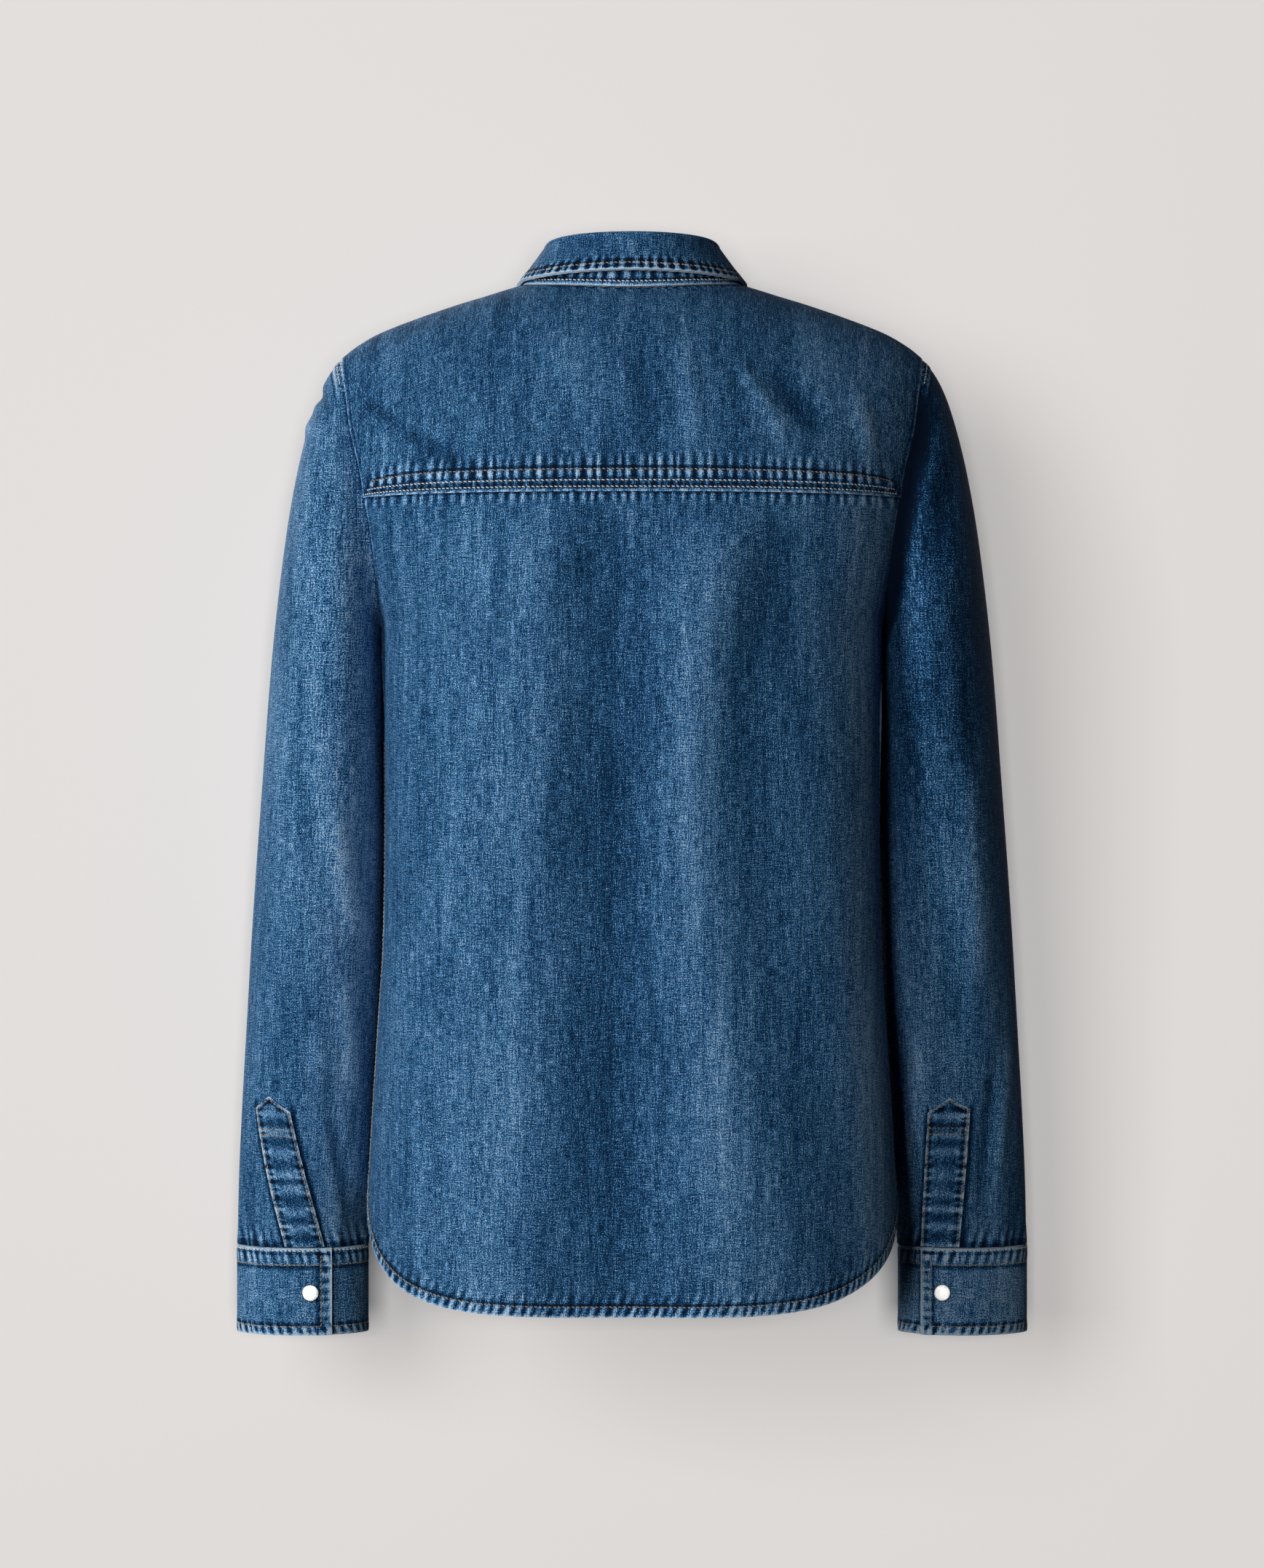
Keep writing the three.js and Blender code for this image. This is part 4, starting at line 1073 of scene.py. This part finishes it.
def sleeve_placket_place(side):
    _, _, top_turn, bottom_turn, top_ring, half_turn = arm_rows[side]

    def place(u, v):
        across = 2 * u - 1
        ring = mix(top_ring - point_rings * (1 - np.abs(across)), last_ring - 0.02, v)
        down = (ring - top_ring) / (last_ring - top_ring)
        turn = mix(top_turn, bottom_turn, down) + across * half_turn
        h = 0.3
        points = sleeve_point(side, turn, ring)
        slope_across = sleeve_point(side, turn + h, ring) - sleeve_point(side, turn - h, ring)
        slope_down = sleeve_point(side, turn, np.minimum(ring + 0.02, last_ring)) - points
        slope_down = slope_down + points - sleeve_point(side, turn, ring - 0.02)
        out = np.cross(slope_across, slope_down) * -side
        out /= np.linalg.norm(out, axis=-1, keepdims=True)
        return points + out * sleeve_placket_lift
    return place


def sleeve_placket_relief(seed):
    def relief(u, v, points, edges):
        from_side = np.minimum(np.minimum(edges["left"], edges["right"]), edges["top"])
        ripple = puckers(-points[..., 2], 5.2, seed)
        height = 0.3 * ripple * bump(from_side - 3, 6) - 0.3 * bump(from_side, 1.5)
        broad = puckers(-points[..., 2], 12, seed + 3)
        wear_and_painted_light = 0.1 + 1.2 * edge_wear_and_painted_shade(from_side, points[..., 2], seed + 4) + 0.9 * broad
        wear_and_painted_light += 1.7 * ripple * bump(from_side - 3, 5)
        return height, wear_and_painted_light
    return relief


sleeve_plackets = {}
for name, side, seed in (("sleeve_placket_left", 1, 91), ("sleeve_placket_right", -1, 92)):
    sleeve_plackets[side] = cloth_piece(
        name, steps_between(0, (1, 20)), steps_between(0, (1, 70)),
        sleeve_placket_place(side), sleeve_placket_relief(seed),
        flip=-side,
    )

# Cuffs: stiffened bands of doubled denim round each wrist, lapped at the back and closed by a snap.
cuff_top_z = -613.4
cuff_bottom_z = -669
cuff_overlap_turn = 40
cuff_ease_turn = 45
cuff_cloth = 2.2
snap_z_on_cuff = -641
lap_gap = 0.3


def cuff_place(side):
    edge_turn = arm_rows[side][0]

    def plain(u, v):
        turn = edge_turn - (360 + cuff_overlap_turn) * u
        ring = 0 * u + last_ring
        points, _ = ring_point(ring, inner_x_column[side], turn)
        middle_y = read(sleeve_rows, ring, mid_y)
        deep = read(sleeve_rows, ring, half_depth)
        points[..., 1] = middle_y + (points[..., 1] - middle_y) * (deep - 1) / deep
        points[..., 2] = mix(cuff_top_z, cuff_bottom_z, v)
        return points * np.array([side, 1, 1])

    def place(u, v):
        slope = plain(u + 0.001, v) - plain(u - 0.001, v)
        out = np.stack([slope[..., 1], -slope[..., 0], 0 * u], -1) * -side
        out /= np.linalg.norm(out, axis=-1, keepdims=True)
        past = np.clip(((360 + cuff_overlap_turn) * u - cuff_overlap_turn) / cuff_ease_turn, 0, 1)
        return plain(u, v) + out * ((cuff_cloth + lap_gap) * (1 - ease(past, 0, 1)))[..., None]
    return place


def cuff_relief(seed, worn_and_painted_light):
    def relief(u, v, points, edges):
        from_top, from_bottom, from_end = edges["top"], edges["bottom"], edges["left"]
        ripple = puckers(edges["left"] + 0.3 * from_top, 6, seed)
        low_ripple = puckers(edges["left"] - 0.4 * from_bottom, 5.6, seed + 1)
        end_ripple = puckers(from_top, 6, seed + 2)
        height = 0.35 * ripple * bump(from_top - 6, 7) + 0.35 * low_ripple * bump(from_bottom - 4, 6)
        height += 0.25 * end_ripple * bump(from_end - 4, 6)
        height -= 0.3 * (bump(from_top - 1.2, 1) + bump(from_top - 10.7, 1.3) + bump(from_bottom - 5.5, 1.3))
        under = from_end - from_end.max() * 360 / (360 + cuff_overlap_turn)
        wear_and_painted_light = 2.2 * ripple * bump(from_top - 6, 7) + 2.8 * low_ripple * bump(from_bottom - 3.5, 6)
        # Painted shadow on the under layer where the lapped end lies over it.
        wear_and_painted_light -= 2.4 * bump(under + 1.5, 4.5)
        # The cuff's given amount, below, is painted light that makes the whole cuff paler.
        wear_and_painted_light += 1.8 * end_ripple * bump(from_end - 4, 6) + worn_and_painted_light
        wear_and_painted_light += 2.2 * bump(from_bottom, 2) + 2.4 * bump(from_top, 1.8) + 3.2 * bump(from_end, 2.2)
        # Painted shade: dark lines just inside the pale edges and beside the stitch rows.
        wear_and_painted_light -= 1.5 * (bump(from_bottom - 7, 1.6) + bump(from_top - 12.3, 1.6) + bump(from_end - 8.6, 1.6))
        wear_and_painted_light -= 1.2 * bump(from_top - 3.2, 1.3)
        return height, wear_and_painted_light
    return relief


cuffs = {}
# The last number of each row is painted light: each cuff is drawn paler, the right one more, where the lamps
# leave it darker.
for name, side, seed, worn_and_painted_light in (("cuff_left", 1, 101, 0.35), ("cuff_right", -1, 111, 0.8)):
    cuffs[side] = cloth_piece(
        name, steps_between(0, (1, 190)), steps_between(0, (0.3, 14), (0.8, 12), (1, 10)),
        cuff_place(side), cuff_relief(seed, worn_and_painted_light),
        flip=side, thickness=cuff_cloth - 0.2,
    )

# Stitching: lockstitch in tan cotton, and in faded cotton on the worn seams. Each stitch is a short
# rounded length that stands a little proud of the cloth, thicker than real thread so that it shows.
threads = {}
for tone, colour in (("tan", "#b49a78"), ("faded", "#f1ebe0")):
    threads[tone], thread_shader = new_material(f"{tone}_cotton_thread")
    thread_shader.inputs["Base Color"].default_value = linear(colour)
    thread_shader.inputs["Roughness"].default_value = 0.8
    thread_shader.inputs["Specular IOR Level"].default_value = 0.2
stitch_pitch = 2.9
stitch_length = 2.2
stitch_radius = 0.4
stitch_slant = 0.28

bpy.ops.object.select_all(action="DESELECT")
bpy.ops.mesh.primitive_uv_sphere_add(segments=6, ring_count=5, radius=1)
sample = bpy.context.object
stitch_corners = np.array([corner.co for corner in sample.data.vertices])
stitch_faces = [tuple(face.vertices) for face in sample.data.polygons]
bpy.ops.object.delete()


def edge_line(piece, edge, distance, start=0, stop=1):
    """The line on a piece's face at a distance from one of its edges, with its directions out."""
    spans = piece["edges"][edge]
    face, out = piece["face"], piece["out"]
    if edge in ("left", "right"):
        spans, face, out = spans.T, face.swapaxes(0, 1), out.swapaxes(0, 1)
    count = spans.shape[1]
    columns = np.arange(int(start * (count - 1)), int(stop * (count - 1)) + 1)
    order = slice(None) if edge in ("left", "top") else slice(None, None, -1)
    numbers = np.arange(spans.shape[0])[order]
    at = np.array([np.interp(distance, spans[order, i], numbers) for i in columns])
    low = np.clip(np.floor(at).astype(int), 0, spans.shape[0] - 2)
    share = (at - low)[:, None]
    points = face[low, columns] * (1 - share) + face[low + 1, columns] * share
    return points, out[low, columns] * (1 - share) + out[low + 1, columns] * share


def stitching(name, tone, lines):
    """One mesh of stitches along lines of points."""
    corners = []
    for points, out in lines:
        steps = np.linalg.norm(np.diff(points, axis=0), axis=-1)
        along = np.concatenate([[0], np.cumsum(steps)])
        centres = np.arange(0.8 + stitch_length / 2, along[-1] - 0.8 - stitch_length / 2, stitch_pitch)
        draw = np.random.default_rng(len(points) + int(along[-1]))
        centres = centres + draw.uniform(-0.15, 0.15, len(centres))

        def at(values, distance):
            return np.stack([np.interp(distance, along, values[:, k]) for k in range(3)], -1)
        ahead = at(points, centres + stitch_length / 2) - at(points, centres - stitch_length / 2)
        ahead /= np.linalg.norm(ahead, axis=-1, keepdims=True)
        up = at(out, centres)
        up -= ahead * (up * ahead).sum(-1, keepdims=True)
        up /= np.linalg.norm(up, axis=-1, keepdims=True)
        beside = np.cross(ahead, up)
        slant = stitch_slant + draw.uniform(-0.1, 0.1, (len(centres), 1))
        ahead, beside = ahead + beside * slant, beside - ahead * slant
        middle = at(points, centres) + up * 0.05
        x, y, z = stitch_corners.T
        for k in range(len(centres)):
            shape = middle[k] + np.outer(z * stitch_length / 2, ahead[k])
            shape = shape + np.outer(x * stitch_radius, beside[k]) + np.outer(y * stitch_radius, up[k])
            corners.append(shape)
    count = len(stitch_corners)
    faces = [tuple(i + k * count for i in face) for k in range(len(corners)) for face in stitch_faces]
    mesh = bpy.data.meshes.new(name)
    mesh.from_pydata((np.concatenate(corners) * 0.001).tolist(), [], faces)
    mesh.materials.append(threads[tone])
    piece = bpy.data.objects.new(name, mesh)
    bpy.context.collection.objects.link(piece)
    bpy.ops.object.select_all(action="DESELECT")
    piece.select_set(True)
    bpy.context.view_layer.objects.active = piece
    bpy.ops.object.shade_smooth()
    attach(piece, "root")
    shirt_side.objects.link(piece)
    return piece


seam_start = rim_columns / (2 * rim_columns + seam_columns) + 0.002
stitching("yoke_top_stitches", "tan", [edge_line(yoke, "bottom", 14, seam_start, 1 - seam_start)])
stitching("yoke_edge_stitches", "faded", [
    edge_line(yoke, "bottom", inset, seam_start, 1 - seam_start) for inset in (3, 7)
])
stitching("hem_stitches", "tan", [
    edge_line(panel, "bottom", 6.3) for panel in (back, fronts[1], fronts[-1])
] + [
    edge_line(back, side, inset, 0.38, 0.965) for side in ("left", "right") for inset in (2.2, 7.6)
])
stitching("placket_stitches", "tan", [
    edge_line(front_placket, side, 3) for side in ("left", "right")
] + [
    edge_line(sleeve_plackets[side], edge, 1.6)
    for side in (1, -1) for edge in ("left", "right", "top")
] + [
    edge_line(sleeve_plackets[side], "bottom", inset) for side in (1, -1) for inset in (74, 78)
])
stitching("collar_stitches", "tan", [
    edge_line(leaf, "bottom", 5, 0.02, 0.98),
    edge_line(leaf, "left", 5, 0.18, 0.93),
    edge_line(leaf, "right", 5, 0.18, 0.93),
])
stitching("neck_stitches", "faded", [edge_line(stand, "bottom", 3.4)])
stitching("sleeve_stitches", "faded", [
    edge_line(sleeves[side], "top", 7.6, 0.3, 0.6) for side in (1, -1)
])
stitching("cuff_edge_stitches", "faded", [edge_line(cuffs[side], "top", 1.6, 0.03, 1) for side in (1, -1)])
stitching("cuff_stitches", "tan", [
    edge_line(cuffs[side], "top", 10.7, 0.03, 1) for side in (1, -1)
] + [
    edge_line(cuffs[side], "bottom", 5.5, 0.03, 1) for side in (1, -1)
] + [
    edge_line(cuffs[side], "left", 7, 0.1, 0.9) for side in (1, -1)
])

# Snaps: each has a domed pearl cap held by a thin metal rim, pressed through the cloth.
pearl, pearl_shader = new_material("pearl_cap")
pearl_shader.inputs["Base Color"].default_value = linear("#d8d6d2")
pearl_shader.inputs["Roughness"].default_value = 0.22
pearl_shader.inputs["Coat Weight"].default_value = 0.6
pearl_shader.inputs["Coat Roughness"].default_value = 0.08
snap_metal, metal_shader = new_material("nickel_rim")
metal_shader.inputs["Base Color"].default_value = linear("#5b6066")
metal_shader.inputs["Metallic"].default_value = 1
metal_shader.inputs["Roughness"].default_value = 0.3
rim_radius = 0.0051
rim_wire = 0.00042
cap_radius = 0.005
cap_flatness = 0.36
snap_stands_off = 0.1


def snap(name, point, out):
    """One snap on a place of the cloth, turned to face straight out of it."""
    bpy.ops.object.select_all(action="DESELECT")
    bpy.ops.mesh.primitive_torus_add(
        major_segments=48, minor_segments=12, major_radius=rim_radius, minor_radius=rim_wire,
    )
    rim = bpy.context.object
    rim.scale = (1, 1, 1.7)
    rim.location = (0, 0, 0.0008)
    rim.data.materials.append(snap_metal)
    bpy.ops.mesh.primitive_uv_sphere_add(segments=48, ring_count=24, radius=cap_radius)
    cap = bpy.context.object
    cap.scale = (1, 1, cap_flatness)
    cap.location = (0, 0, 0.00095)
    cap.data.materials.append(pearl)
    rim.select_set(True)
    cap.select_set(True)
    bpy.context.view_layer.objects.active = cap
    bpy.ops.object.join()
    bpy.ops.object.transform_apply(location=True, rotation=True, scale=True)
    cap.name = name + "_cap"
    cap.rotation_euler = Vector(out).to_track_quat("Z", "Y").to_euler()
    cap.location = Vector((point + out * snap_stands_off) * 0.001)
    bpy.ops.object.transform_apply(location=True, rotation=True, scale=True)
    bpy.ops.object.shade_smooth()
    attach(cap, "root")
    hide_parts(name)
    shirt_side.objects.link(cap)
    wall_side.objects.link(cap)


def nearest(piece, u, v):
    """The place on a piece's face nearest to a share across and down it."""
    i = int(round(np.interp(u, piece["u"][0], np.arange(piece["u"].shape[1]))))
    j = int(round(np.interp(v, piece["v"][:, 0], np.arange(piece["v"].shape[0]))))
    out = piece["out"][j, i]
    return piece["face"][j, i], out / np.linalg.norm(out)


snap_places = []
for side, label in ((1, "left"), (-1, "right")):
    along = (arm_rows[side][0] - arm_rows[side][1]) / (360 + cuff_overlap_turn)
    down = (cuff_top_z - snap_z_on_cuff) / (cuff_top_z - cuff_bottom_z)
    snap_places.append((f"snap_cuff_{label}", *nearest(cuffs[side], along, down)))
placket_top_z = float(shoulder_point(*neck_chart(np.array(180.0), -placket_neck_gap))[2])
for number, z in enumerate((-78, -163, -248, -333, -418, -503), 1):
    down = (placket_top_z - z) / (placket_top_z - hem_low_z[False])
    snap_places.append((f"snap_front_{number}", *nearest(front_placket, 0.5, down)))
stand_share = (180 - (stand_end_turn - 180 + 0.3)) / (360 - 0.3)
snap_places.append(("snap_collar", *nearest(stand, stand_share, 0.5)))
for name, point, out in snap_places:
    snap(name, point, out)
